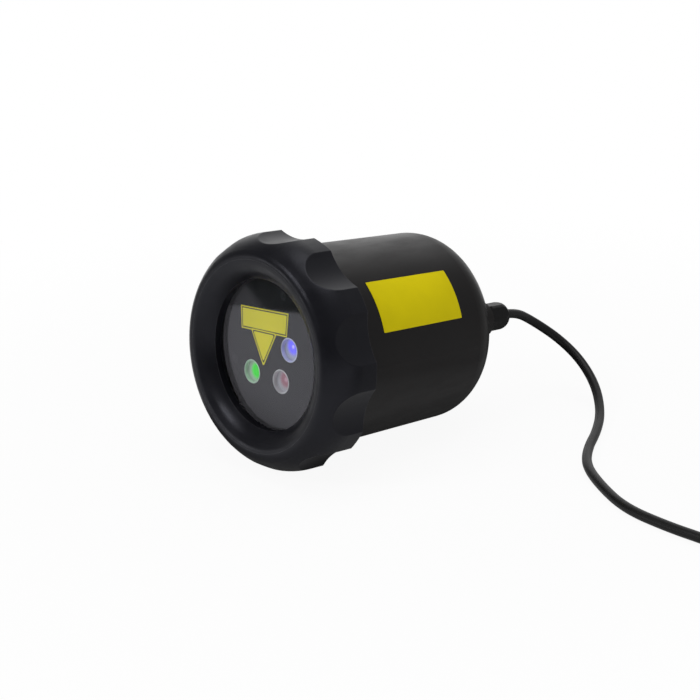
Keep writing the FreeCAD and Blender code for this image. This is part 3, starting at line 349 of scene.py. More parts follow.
def panel_plate(name, tone):
    """Dark matt plate with a rolled texture and a few dust specks."""
    finish, place = new_finish(name)
    grain = finish.noise(place, 1300.0, 3.0, 0.6)
    roll = finish.noise(finish.stretch(place, (0.2, 1.0, 3.0)), 160.0, 3.0)
    dust = finish.noise(place, 700.0, 1.0).rise(0.72, 0.8)
    shade = finish.blend(roll, lighter(tone, 0.8), lighter(tone, 1.3))
    shade = finish.blend(dust * 0.2, shade, (0.05, 0.05, 0.052))
    normal = finish.bump(grain, 0.02 * MM, 0.2)
    return finish.surface(shade, 0.62 + (grain - 0.5) * 0.1, normal, {"Specular IOR Level": 0.12})


def sticker_film(name, tone, ink, line):
    """Yellow vinyl film with a thin dark line inside its edge, read from the sheet's own inset."""
    finish, place = new_finish(name)
    inset = finish.node("ShaderNodeAttribute", {"attribute_name": "inset"}, None, 2)
    end = line + INK_WIDTH
    drawn = inset.rise(line - 0.06 * MM, line) * (1.0 - inset.rise(end, end + 0.06 * MM))
    cut_edge = 1.0 - inset.rise(0.02 * MM, 0.22 * MM)
    fade = finish.noise(place, 28.0, 4.0)
    print_grain = finish.noise(place, 2400.0, 1.0)
    ripple = finish.noise(place, 75.0, 2.0)
    shade = finish.blend(fade.rise(0.3, 0.75), lighter(tone, 0.93), lighter(tone, 1.05))
    shade = finish.blend(print_grain.rise(0.55, 0.75) * 0.12, shade, lighter(tone, 0.8))
    shade = finish.blend(cut_edge * 0.45, shade, lighter(tone, 0.6))
    shade = finish.blend(drawn, shade, ink)
    normal = finish.bump(ripple + print_grain * 0.04, 0.12 * MM, 0.4)
    return finish.surface(shade, 0.42 + fade * 0.12, normal, {"Specular IOR Level": 0.08})


def painted_beam_glow(name, centre, rim, glow, core, core_size, pale):
    """Frosted grating disc with painted light: emission painted as the glow of the beam behind it, with a
    bright core, and the glow's colour painted into the disc round the beam, pale further out.
    """
    finish, place = new_finish(name)
    away = finish.node("ShaderNodeVectorMath", {"operation": "DISTANCE"}, {0: place, 1: centre}, 1)
    ruled = finish.wave(place, "DIAGONAL", 1400.0)
    frost = finish.noise(place, 1500.0, 2.0)
    middle = 1.0 - away.rise(core_size * 0.35, core_size)
    glow_spread = 1.0 - away.rise(2.4 * MM, 5.6 * MM)
    # Painted glow: emission in the beam's colour round its middle, a faint glow of the rim tone further out,
    # and a bright core.
    light = finish.blend(glow_spread * (0.85 + frost * 0.3), lighter(rim, 0.12), glow)
    light = finish.blend(middle, light, core)
    shade = finish.blend(frost, lighter(rim, 0.9), rim)
    # Painted light: the glow's colour is also painted into the disc's base colour round the beam.
    shade = finish.blend(glow_spread, shade, lighter(glow, pale))
    normal = finish.bump(ruled, 0.02 * MM, 0.4)
    return finish.surface(shade, 0.42 + frost * 0.2, normal,
                          {"Emission Color": light, "Emission Strength": 1.0})


def board_face(name):
    """Green circuit board with copper runs under the lacquer and pale pads."""
    finish, place = new_finish(name)
    cells = finish.node("ShaderNodeTexVoronoi", {"distance": "CHEBYCHEV", "feature": "F1"},
                        {"Vector": place, "Scale": 240.0})
    runs = finish.node("ShaderNodeTexBrick", {"offset": 0.5},
                       {"Vector": place, "Scale": 170.0, "Mortar Size": 0.03, "Color1": (0, 0, 0, 1),
                        "Color2": (0, 0, 0, 1), "Mortar": (1, 1, 1, 1)}, 1)
    pads = 1.0 - cells.rise(0.08, 0.12)
    shade = finish.blend(runs, (0.012, 0.10, 0.035), (0.03, 0.17, 0.06))
    shade = finish.blend(pads, shade, (0.62, 0.60, 0.52))
    return finish.surface(shade, 0.35 + pads * 0.15, finish.bump(runs, 0.03 * MM, 0.3), {"Coat Weight": 0.3})


def strap_weave(name, tone):
    """Hook and loop strap: fine woven loops."""
    finish, place = new_finish(name)
    warp = finish.wave(place, "Y", 380.0)
    weft = finish.wave(place, "X", 380.0)
    fuzz = finish.noise(place, 2600.0, 3.0, 0.7)
    loops = warp.larger(weft) * 0.6 + fuzz * 0.6
    shade = finish.blend(fuzz, lighter(tone, 0.7), lighter(tone, 2.2))
    return finish.surface(shade, 0.9, finish.bump(loops, 0.12 * MM, 0.8), {"Specular IOR Level": 0.15})


def placed(name, data):
    """Puts data in the scene as an object."""
    made = bpy.data.objects.new(name, data)
    bpy.context.scene.collection.objects.link(made)
    return made


def link_piece(name, data, body, finish):
    """Puts mesh or curve data in the scene as a piece that rides on a body."""
    data.materials.append(finish)
    piece = placed(name, data)
    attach(piece, body)
    return piece


def mesh_piece(name, build, body, finish):
    """Turns a bmesh into a piece that rides on a body, smooth apart from its sharp edges."""
    bmesh.ops.recalc_face_normals(build, faces=build.faces)
    mesh = bpy.data.meshes.new(name)
    build.to_mesh(mesh)
    build.free()
    mesh.polygons.foreach_set("use_smooth", [True] * len(mesh.polygons))
    mesh.set_sharp_from_angle(angle=math.radians(CREASE))
    return link_piece(name, mesh, body, finish)


def paint_of(node):
    """The finish that a solid already has."""
    return frame["nodes"][node].data.materials[0]


def scaled(pairs):
    """Pairs in millimetres as pairs in metres."""
    return [(first * MM, second * MM) for first, second in pairs]


def around(along):
    """Gives the unit direction off an axis for an angle round it."""
    side = along.orthogonal().normalized()
    other = along.cross(side)

    def out(angle):
        return side * math.cos(angle) + other * math.sin(angle)

    return out


def skin(build, one, two):
    """Joins two closed rings of vertices with faces."""
    for step in range(len(one)):
        after = (step + 1) % len(one)
        build.faces.new((one[step], one[after], two[after], two[step]))


def swept(stations, closed=False):
    """Joins cross-sections, each a list of points, into one skin, closed in a loop or at its ends."""
    build = bmesh.new()
    rings = [[build.verts.new(point) for point in station] for station in stations]
    for one, two in zip(rings, rings[1:]):
        skin(build, one, two)
    if closed:
        skin(build, rings[-1], rings[0])
    else:
        build.faces.new(rings[0])
        build.faces.new(rings[-1])
    return build


def turned(profile, start, along, steps, looped=False, swell=None):
    """A turned form. The profile is (distance along, radius); swell changes the radius by angle."""
    out = around(along)
    stations = []
    for distance, radius in profile:
        station = []
        for step in range(steps):
            angle = 2 * math.pi * step / steps
            reach = radius + (swell(angle, distance) if swell else 0.0)
            station.append(start + along * distance + out(angle) * reach)
        stations.append(station)
    return swept(stations, looped)


def helix_ridge(start, along, radius, height, pitch, length, base, steps=96):
    """A screw thread's ridge on a round surface; a negative height is for a bore."""
    out = around(along)
    count = int(length / pitch * steps)
    foot = radius - RIDGE_ROOT * math.copysign(1.0, height)
    stations = []
    for step in range(count + 1):
        way = out(2 * math.pi * step / steps)
        fade = min(1.0, step / RIDGE_FADE, (count - step) / RIDGE_FADE)
        crest = radius + height * fade
        middle = start + along * (pitch * step / steps)
        corners = ((foot, -base / 2), (crest, -base / 6), (crest, base / 6), (foot, base / 2))
        stations.append([middle + way * reach + along * offset for reach, offset in corners])
    return swept(stations)


def coil_points(sizes):
    """Control points of the coil: half turns that close in, climb and open out again."""
    start = CORD_EXIT + Vector((ROUTE[-1][0], ROUTE[-1][1], 0.0)) * MM
    line = start.x + COIL_LEAD_IN
    low = ROUTE[-1][2] * MM
    inner = sizes.coil_halves
    radii = [sizes.coil_radius - sizes.coil_step * half for half in range(inner)]
    halves = [(radius, 0.0) for radius in radii]
    halves.append((sizes.coil_radius - sizes.coil_step * inner, 0.5))
    halves.extend((radius, 1.0) for radius in reversed(radii))
    step = math.pi / COIL_POINTS
    reach = 1.0 / math.cos(step / 2)
    points = []
    edge = start.y
    for index, (radius, layer) in enumerate(halves):
        turn = 1.0 if index % 2 == 0 else -1.0
        centre = edge + turn * radius
        for count in range(COIL_POINTS):
            angle = (count + 0.5) * step
            climb = layer if layer != 0.5 else (count + 0.5) / COIL_POINTS
            points.append(Vector((line + turn * radius * reach * math.sin(angle),
                                  centre - turn * radius * reach * math.cos(angle),
                                  low + climb * sizes.coil_layer)))
        edge = centre + turn * radius
    return points


def lead_points(sizes):
    """Control points of the whole lead, from the gland to the plug."""
    points = [CORD_EXIT, CORD_EXIT + REAR * STRAIGHT_OUT]
    for across, along, height in ROUTE:
        points.append(Vector((CORD_EXIT.x + across * MM, CORD_EXIT.y + along * MM, height * MM)))
    points.extend(coil_points(sizes))
    points.append(PLUG_START - PLUG_WAY * STRAIGHT_IN)
    points.append(PLUG_START)
    return points


class PROJECTOR_OT_plug(bpy.types.Operator):
    """Adds the plug's ribbed grip and its fluted locking collar."""

    bl_idname = "projector.plug"
    bl_label = "Plug"
    relief_length, relief_steps, relief_ribs = 14.0, 28, 5
    grip = ((14.4, 6.05), (15.0, 6.2), (16.0, 6.2), (16.6, 5.9), (25.0, 5.9), (25.6, 6.2), (33.4, 6.2),
            (34.0, 5.8))
    waist = (16.6, 25.4)
    collar = ((27.9, 8.0), (28.4, 8.45), (29.2, 8.55), (30.0, 8.55), (30.4, 8.55), (37.6, 8.55),
              (38.2, 8.55), (39.4, 8.5), (40.1, 8.3), (40.5, 7.9), (40.5, 7.0), (40.1, 6.6), (28.2, 6.6),
              (27.6, 7.0), (27.6, 7.6))
    fluted = (30.2, 38.0)

    def execute(self, context):
        nylon = moulded("plug_nylon", context.scene.projector_colours.nylon, 1500.0, 0.45)
        profile = scaled([(0.0, 2.7), *self.relief(), *self.grip])
        build = turned(profile, PLUG_START, PLUG_WAY, 72, swell=self.flats)
        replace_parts(mesh_piece("plug_grip", build, "housing", nylon), "plug_body")
        build = turned(scaled(self.collar), PLUG_START, PLUG_WAY, 120, looped=True, swell=self.flutes)
        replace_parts(mesh_piece("plug_ring", build, "plug_lock", nylon), "plug_collar")
        return {"FINISHED"}

    def relief(self):
        """Profile of the tapered strain relief, with rounded grooves between its ribs."""
        points = []
        for step in range(self.relief_steps + 1):
            share = step / self.relief_steps
            groove = 0.55 * max(0.0, math.sin(share * self.relief_ribs * 2 * math.pi - 1.2)) ** 2
            points.append((self.relief_length * share, 3.4 + 2.6 * share - groove))
        return points

    def flats(self, angle, distance):
        """Twelve shallow flats round the grip's waist."""
        if self.waist[0] * MM < distance < self.waist[1] * MM:
            return -0.3 * MM * (0.5 - 0.5 * math.cos(12 * angle))
        return 0.0

    def flutes(self, angle, distance):
        """Twenty finger flutes round the collar."""
        if self.fluted[0] * MM < distance < self.fluted[1] * MM:
            return -0.45 * MM * (0.5 - 0.5 * math.cos(20 * angle)) ** 2
        return 0.0


class PROJECTOR_OT_strap(bpy.types.Operator):
    """Adds the woven strap that ties the coil."""

    bl_idname = "projector.strap"
    bl_label = "Coil strap"
    corners = ((227.9, 6.25), (233.6, 3.4), (245.0, 3.4), (245.0, 9.1), (233.6, 9.1))
    middle, half_width, slack = -35.0, 3.4, 0.05
    bend_steps = 6

    def execute(self, context):
        sizes = context.scene.projector_sizes
        weave = strap_weave("strap_weave", context.scene.projector_colours.nylon)
        half, sheet = self.half_width * MM, sizes.strap_sheet
        reach = sizes.lead_width / 2 + self.slack * MM
        section = ((-half, 0.0), (-half * 0.96, sheet), (0.0, sheet * 1.04), (half * 0.96, sheet),
                   (half, 0.0), (0.0, 0.0))
        stations = []
        for here, out in self.path():
            station = []
            for width, lift in section:
                place = here + out * (reach + lift)
                along = CORD_EXIT.y + self.middle * MM + width
                station.append(Vector((CORD_EXIT.x + place.x, along, place.y)))
            stations.append(station)
        build = swept(stations, closed=True)
        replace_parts(mesh_piece("coil_strap", build, "housing", weave), "coil_tie")
        return {"FINISHED"}

    def path(self):
        """Places and outward directions round the turns of the coil that the strap holds."""
        path = []
        for index, corner in enumerate(self.corners):
            before = Vector(self.corners[index - 1])
            here = Vector(corner)
            after = Vector(self.corners[(index + 1) % len(self.corners)])
            first, second = (here - before).normalized(), (after - here).normalized()
            first_out, second_out = Vector((first.y, -first.x)), Vector((second.y, -second.x))
            for part in range(self.bend_steps + 1):
                out = first_out.lerp(second_out, part / self.bend_steps).normalized()
                path.append((here * MM, out))
        return path


class PROJECTOR_OT_lead(bpy.types.Operator):
    """Adds the supply cord as one smooth curve, from the gland to its plug."""

    bl_idname = "projector.lead"
    bl_label = "Supply cord"
    inner = ((0.0, 2.2), (0.3, 2.5), (56.0, 2.5), (74.4, 2.5), (74.9, 2.2), (75.1, 1.7), (77.3, 1.6),
             (77.5, 1.2))
    inner_lap = 0.2

    def execute(self, context):
        sizes = context.scene.projector_sizes
        jacket = cord_jacket("cord_jacket_finish", context.scene.projector_colours.jacket)
        curve = bpy.data.curves.new("supply_cord", "CURVE")
        curve.dimensions = "3D"
        curve.bevel_depth = sizes.lead_width / 2
        curve.bevel_resolution = 6
        curve.resolution_u = 10
        curve.use_fill_caps = True
        points = lead_points(sizes)
        spline = curve.splines.new("NURBS")
        spline.points.add(len(points) - 1)
        for control, point in zip(spline.points, points):
            control.co = (*point, 1.0)
        spline.order_u = 3
        spline.use_endpoint_u = True
        lead = link_piece("supply_cord", curve, "housing", jacket)
        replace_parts(lead, "power_cord", "cord_coil")
        build = turned(scaled(self.inner), CORD_EXIT + REAR * self.inner_lap * MM, FORWARD, 32)
        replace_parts(mesh_piece("inner_tail", build, "housing", jacket), "inner_lead")
        return {"FINISHED"}


def sheet_grid(build, layer, columns, rows, place):
    """Adds a thin sheet on a grid with a skirt down to what it sticks to."""
    width, tall = columns[-1], rows[-1]
    top = []
    for row in rows:
        line = []
        for column in columns:
            vertex = build.verts.new(place(column, row, True))
            vertex[layer] = min(column, width - column, row, tall - row)
            line.append(vertex)
        top.append(line)
    for low, high in zip(top, top[1:]):
        for index in range(len(low) - 1):
            build.faces.new((low[index], low[index + 1], high[index + 1], high[index]))
    last, end = len(columns) - 1, len(rows) - 1
    rim = ([(i, 0) for i in range(last)] + [(last, j) for j in range(end)]
           + [(i, end) for i in range(last, 0, -1)] + [(0, j) for j in range(end, 0, -1)])
    feet = []
    for i, j in rim:
        foot = build.verts.new(place(columns[i], rows[j], False))
        foot[layer] = 0.0
        feet.append(foot)
    skin(build, [top[j][i] for i, j in rim], feet)


def edge_places(line):
    """Distances from a sticker's edge at which its grid breaks, up to past its printed line."""
    return [0.0, 0.15 * MM, 0.35 * MM, line - 0.08 * MM, line, line + INK_WIDTH, line + INK_WIDTH + 0.08 * MM]


def breaks(length, line, count):
    """Grid places along a side: close together at the edges, where the line is printed."""
    near = edge_places(line) + [line + 1.2 * MM]
    inner = [near[-1] + (length - 2 * near[-1]) * step / count for step in range(1, count)]
    return near + inner + [length - place for place in reversed(near)]


class PROJECTOR_OT_stickers(bpy.types.Operator):
    """Adds the plain yellow stickers on the panel and on the housing's side."""

    bl_idname = "projector.stickers"
    bl_label = "Plain stickers"
    side_front, side_back = 42.1, 97.5
    side_high, side_low = math.radians(40.9), math.radians(71.2)
    side_radius = 51.0
    wall_radius, wall_start, wall_draft = 51.2, 27.2, math.radians(0.8)
    lift_off = 0.02
    plate = ((-25.6, 19.7), (10.9, 22.5), (10.1, 10.3), (-24.6, 8.0))
    tab_corners = ((-17.4, 9.4), (2.6, 10.6), (-7.0, -8.4))
    tab_round, tab_steps = 1.7, 6

    def execute(self, context):
        sizes = context.scene.projector_sizes
        tones = context.scene.projector_colours
        plain = sticker_film("plain_film", tones.sticker, tones.sticker_ink, NO_LINE)
        lined = sticker_film("lined_film", tones.panel_sticker, tones.sticker_ink, sizes.sticker_line)
        self.side_sticker(sizes, plain)
        self.panel_sticker(sizes, lined)
        return {"FINISHED"}

    def sheet(self, sizes, width, tall, counts, place):
        """Starts a sticker's mesh with its sheet on a grid."""
        build = bmesh.new()
        layer = build.verts.layers.float.new("inset")
        columns = breaks(width, sizes.sticker_line, counts[0])
        rows = breaks(tall, sizes.sticker_line, counts[1])
        sheet_grid(build, layer, columns, rows, place)
        return build, layer

    def side_sticker(self, sizes, film):
        front, back = self.side_front * MM, self.side_back * MM
        width = back - front
        tall = (self.side_low - self.side_high) * self.side_radius * MM
        corner = sizes.sticker_corner

        def place(column, row, outer):
            near = min(row, tall - row)
            cut = 0.0
            if near < corner:
                cut = corner - math.sqrt(max(0.0, corner ** 2 - (corner - near) ** 2))
            back_at = front + cut + (width - 2 * cut) * column / width
            angle = self.side_high + row / (self.side_radius * MM)
            narrowed = (back_at - self.wall_start * MM) * math.tan(self.wall_draft)
            radius = self.wall_radius * MM - narrowed + self.lift_off * MM
            if outer:
                radius += sizes.sticker_sheet
            return spot(radius / MM * math.sin(angle), back_at / MM, radius / MM * math.cos(angle))

        build, _ = self.sheet(sizes, width, tall, (12, 14), place)
        mesh_piece("side_sticker", build, "housing", film)

    def panel_sticker(self, sizes, film):
        corners = [Vector(pair) for pair in self.plate]
        width = (corners[1] - corners[0]).length * MM
        tall = (corners[3] - corners[0]).length * MM
        lift = sizes.sticker_sheet / MM

        def place(column, row, outer):
            share, drop = column / width, row / tall
            upper = corners[0].lerp(corners[1], share)
            lower = corners[3].lerp(corners[2], share)
            flat = upper.lerp(lower, drop)
            return spot(flat.x, PANEL_FACE - (lift if outer else 0.0), flat.y)

        build, layer = self.sheet(sizes, width, tall, (10, 6), place)
        self.tab(build, layer, lift, sizes.sticker_line)
        mesh_piece("panel_sticker", build, "housing", film)

    def tab(self, build, layer, lift, line):
        """Adds the three-cornered tab below the panel's sticker, in rings so that its line can be drawn."""
        corners = [Vector(pair) for pair in self.tab_corners]
        sides = [(corners[(i + 2) % 3] - corners[(i + 1) % 3]).length for i in range(3)]
        weighted = (corner * side for corner, side in zip(corners, sides))
        middle = sum(weighted, Vector((0.0, 0.0))) / sum(sides)
        first, second = corners[1] - corners[0], corners[2] - corners[0]
        inner = abs(first.x * second.y - first.y * second.x) / sum(sides)
        outline = []
        for index, corner in enumerate(corners):
            before = (corners[index - 1] - corner).normalized() * self.tab_round
            after = (corners[(index + 1) % 3] - corner).normalized() * self.tab_round
            for step in range(self.tab_steps + 1):
                share = step / self.tab_steps
                outline.append(corner + before * (1 - share) ** 2 + after * share ** 2)

        def ring(depth, back, inset):
            made = []
            for point in outline:
                flat = middle + (point - middle) * (1 - depth / inner)
                vertex = build.verts.new(spot(flat.x, back, flat.y))
                vertex[layer] = inset
                made.append(vertex)
            return made

        depths = [place / MM for place in edge_places(line)] + [inner * 0.6]
        rings = [ring(depth, PANEL_FACE - lift * 1.02, depth * MM) for depth in depths]
        foot = ring(0.0, PANEL_FACE, 0.0)
        for outer, inside in zip([foot] + rings, rings):
            skin(build, outer, inside)
        build.faces.new(rings[-1])


class PROJECTOR_OT_bushes(bpy.types.Operator):
    """Adds the pale bushes that line the three beam apertures, their colour painted with a share of each
    beam's glow.
    """

    bl_idname = "projector.bushes"
    bl_label = "Aperture bushes"
    painted_glow_share = 0.22

    def execute(self, context):
        sizes = context.scene.projector_sizes
        tones = context.scene.projector_colours
        bore, rim = sizes.bush_bore, sizes.bush_rim
        profile = [(0.0, rim - 0.2 * MM), (-0.1 * MM, rim - 0.35 * MM), (-0.06 * MM, bore + 0.06 * MM),
                   (0.1 * MM, bore), (2.05 * MM, bore), (2.05 * MM, bore + 0.4 * MM), (1.4 * MM, rim),
                   (0.05 * MM, rim)]
        for name, (across, up) in BEAMS.items():
            lights = getattr(tones, name + "_glow")
            # Painted light: each bush's colour takes a share of its beam's glow.
            tone = [part + self.painted_glow_share * (light - part) for part, light in zip(tones.bush, lights)]
            pale = moulded("bush_finish_" + name, tone, 1800.0, 0.5, 0.3)
            build = turned(profile, spot(across, PANEL_FACE, up), REAR, 64, looped=True)
            mesh_piece("bush_" + name, build, "housing", pale)
        return {"FINISHED"}


class PROJECTOR_OT_threads(bpy.types.Operator):
    """Adds the thread on the housing's neck and the one in the mounting insert."""

    bl_idname = "projector.threads"
    bl_label = "Threads"

    def execute(self, context):
        sizes = context.scene.projector_sizes
        build = helix_ridge(spot(0.0, 15.0, 0.0), REAR, radius=48.5 * MM, height=sizes.thread_height,
                            pitch=sizes.thread_pitch, length=11.2 * MM, base=1.5 * MM)
        mesh_piece("neck_thread", build, "housing", paint_of("housing"))
        build = helix_ridge(MOUNT + UPWARD * 1.0 * MM, UPWARD, radius=3.4 * MM, height=-0.3 * MM,
                            pitch=1.25 * MM, length=9 * MM, base=0.9 * MM, steps=48)
        mesh_piece("insert_thread", build, "housing", paint_of("mount_insert"))
        return {"FINISHED"}


class PROJECTOR_OT_screw_slots(bpy.types.Operator):
    """Adds dark cross-shaped sheets on the panel's flush screws, painted shade where their cross slots lie.
    """

    bl_idname = "projector.screw_slots"
    bl_label = "Screw slots"
    circle, angles = 31.0, (198.0, 318.0, 78.0)
    arm, half_width, twist = 1.15, 0.32, 20.0

    def execute(self, context):
        # Painted shade: a thin dark sheet in each slot's outline stands for the shade in its recess.
        dark = moulded("slot_shadow", context.scene.projector_colours.rubber, 900.0, 0.7, 0.1)
        build = bmesh.new()
        cross = self.cross()
        for angle in self.angles:
            across = self.circle * math.cos(math.radians(angle))
            up = self.circle * math.sin(math.radians(angle))
            front, rear = ([build.verts.new(spot(across + x * wide, PANEL_FACE + back, up + z * wide))
                            for x, z in cross] for wide, back in ((1.0, -0.03), (1.04, 0.02)))
            build.faces.new(front)
            skin(build, front, rear)
        mesh_piece("screw_slots", build, "housing", dark)
        return {"FINISHED"}

    def cross(self):
        """Outline of one cross slot."""
        wide, arm = self.half_width, self.arm
        outline = []
        for quarter in range(4):
            turn = math.radians(90.0 * quarter + self.twist)
            for x, z in ((-wide, arm), (wide, arm), (wide, wide)):
                outline.append((x * math.cos(turn) + z * math.sin(turn),
                                z * math.cos(turn) - x * math.sin(turn)))
        return outline


class PROJECTOR_OT_finishes(bpy.types.Operator):
    """Gives every solid that stays its finish."""

    bl_idname = "projector.finishes"
    bl_label = "Finishes of the solids"
    disc_depth = 15.3
    # Per beam of the painted glow: bright core, its size, paleness, rim tone and the core's place off the
    # middle.
    lights = {
        "blue": ((0.55, 0.48, 1.0), 1.3, 0.35, (0.44, 0.45, 0.58), (0.4, 1.5)),
        "green": ((0.02, 0.66, 0.015), 2.2, 0.04, (0.44, 0.56, 0.44), (1.3, 0.3)),
        "red": ((0.40, 0.24, 0.30), 1.6, 0.35, (0.44, 0.42, 0.47), (1.2, 1.0)),
    }

    def execute(self, context):
        tones = context.scene.projector_colours
        finishes = {
            "bezel_black": satin_paint(
                "bezel_paint", tones.bezel, (0.13, 0.13, 0.14), 1900.0, 0.30, (0.86, 0.87, 1.0)),
            "housing_black": satin_paint(
                "housing_paint", tones.housing, (0.045, 0.043, 0.042), 1500.0, 0.33, (1.0, 0.96, 0.97)),
            "window": window_pane("window_body", 0.66),
            "black_rubber": moulded("seal_rubber", tones.rubber, 1100.0, 0.62, 0.18),
            "black_plastic": moulded("gland_nylon", tones.nylon, 1600.0, 0.34, 0.14),
            "grey_plate": panel_plate("panel_plate", tones.panel),
            "bare_aluminium": machined("milled_aluminium", (0.72, 0.73, 0.75), 0.36, 6.0, 420.0),
            "brass": machined("turned_brass", (0.72, 0.52, 0.22), 0.3, 8.0, 520.0),
            "steel": machined("bright_steel", (0.58, 0.59, 0.60), 0.28, 5.0, 700.0),
            "gear_plastic": moulded("gear_acetal", (0.76, 0.76, 0.72), 1300.0, 0.42, 0.4),
            "optics": lens_glass("lens_glass"),
            "board": board_face("board_face"),
            "cord_jacket": cord_jacket("cord_jacket_solid", tones.jacket),
        }
        for name, solid in frame["nodes"].items():
            if not solid.data.materials:
                raise RuntimeError("the solid " + name + " has no material slot")
            for index, old in enumerate(solid.data.materials):
                key = old.name.split(".")[0]
                if key not in finishes:
                    raise RuntimeError("no finish for slot " + key)
                solid.data.materials[index] = finishes[key]
        black_screw = machined("blackened_screw", (0.03, 0.03, 0.032), 0.42, 5.0, 700.0)
        frame["nodes"]["panel_screws"].data.materials[0] = black_screw
        # Painted glow on each grating disc, in place of the beam's light behind it.
        for name, (across, up) in BEAMS.items():
            core, core_size, pale, rim, aim = self.lights[name]
            centre = spot(across + aim[0], self.disc_depth, up + aim[1])
            glow = getattr(tones, name + "_glow")
            lit = painted_beam_glow("grating_" + name, centre, rim, glow, core, core_size * MM, pale)
            frame["nodes"]["grating_disc_" + name].data.materials[0] = lit
        return {"FINISHED"}


class PROJECTOR_OT_pane(bpy.types.Operator):
    """Adds the raised face of the window glass, which stands up into the lip's bore."""

    bl_idname = "projector.pane"
    bl_label = "Window face"
    seat, rim, chamfer, lap = 10.4988, 38.1, 0.2, 0.1

    def execute(self, context):
        face = self.seat - context.scene.projector_sizes.pane_step / MM
        profile = [(face, self.rim - self.chamfer), (face + self.chamfer, self.rim),
                   (self.seat + self.lap, self.rim)]
        build = turned(scaled(profile), CREST, REAR, 180)
        mesh_piece("window_face", build, "window", window_pane("window_face", 0.40))
        return {"FINISHED"}


class PROJECTOR_OT_bevel(bpy.types.Operator):
    """Adds the crown on the bezel's bevel, a ring that bulges between the lip and the crest."""

    bl_idname = "projector.bevel"
    bl_label = "Crowned bevel"
    lip, arc, crest = 38.2, 45.966, 49.206
    rounding = 5.5
    slope = math.radians(36.1)
    top, end, fallen = 0.43, 0.93, 0.95
    cover, bed_depth = 0.03, 0.3
    steps = 30

    def execute(self, context):
        crown = context.scene.projector_sizes.bevel_crown / MM
        parts = [self.end * step / self.steps for step in range(self.steps + 1)]
        face = [self.place(part, self.cover + crown * self.bulge(part)) for part in parts]
        bed = [self.place(part, -self.bed_depth) for part in reversed(parts)]
        build = turned(scaled(face + bed), CREST, REAR, 240, looped=True)
        mesh_piece("bevel_crown", build, "bezel", paint_of("bezel_ring"))
        return {"FINISHED"}

    def bulge(self, part):
        """Height of the crown, from 0 at the lip over 1 at its top to 0 at the crest."""
        fall = min(1.0, max(0.0, (part - self.top) / (self.fallen - self.top)))
        rise = min(0.0, part / self.top - 1.0)
        return (1.0 - rise * rise) * (1.0 - fall * fall * (3.0 - 2.0 * fall))

    def place(self, part, height):
        """Depth and radius of a point off the straight bevel and the crest's rounding."""
        radius = self.lip + part * (self.crest - self.lip)
        tilt = math.asin((self.crest - max(radius, self.arc)) / self.rounding)
        back = self.rounding * (1.0 - math.cos(tilt)) + max(0.0, self.arc - radius) * math.tan(self.slope)
        return back - height * math.cos(tilt), radius - height * math.sin(tilt)


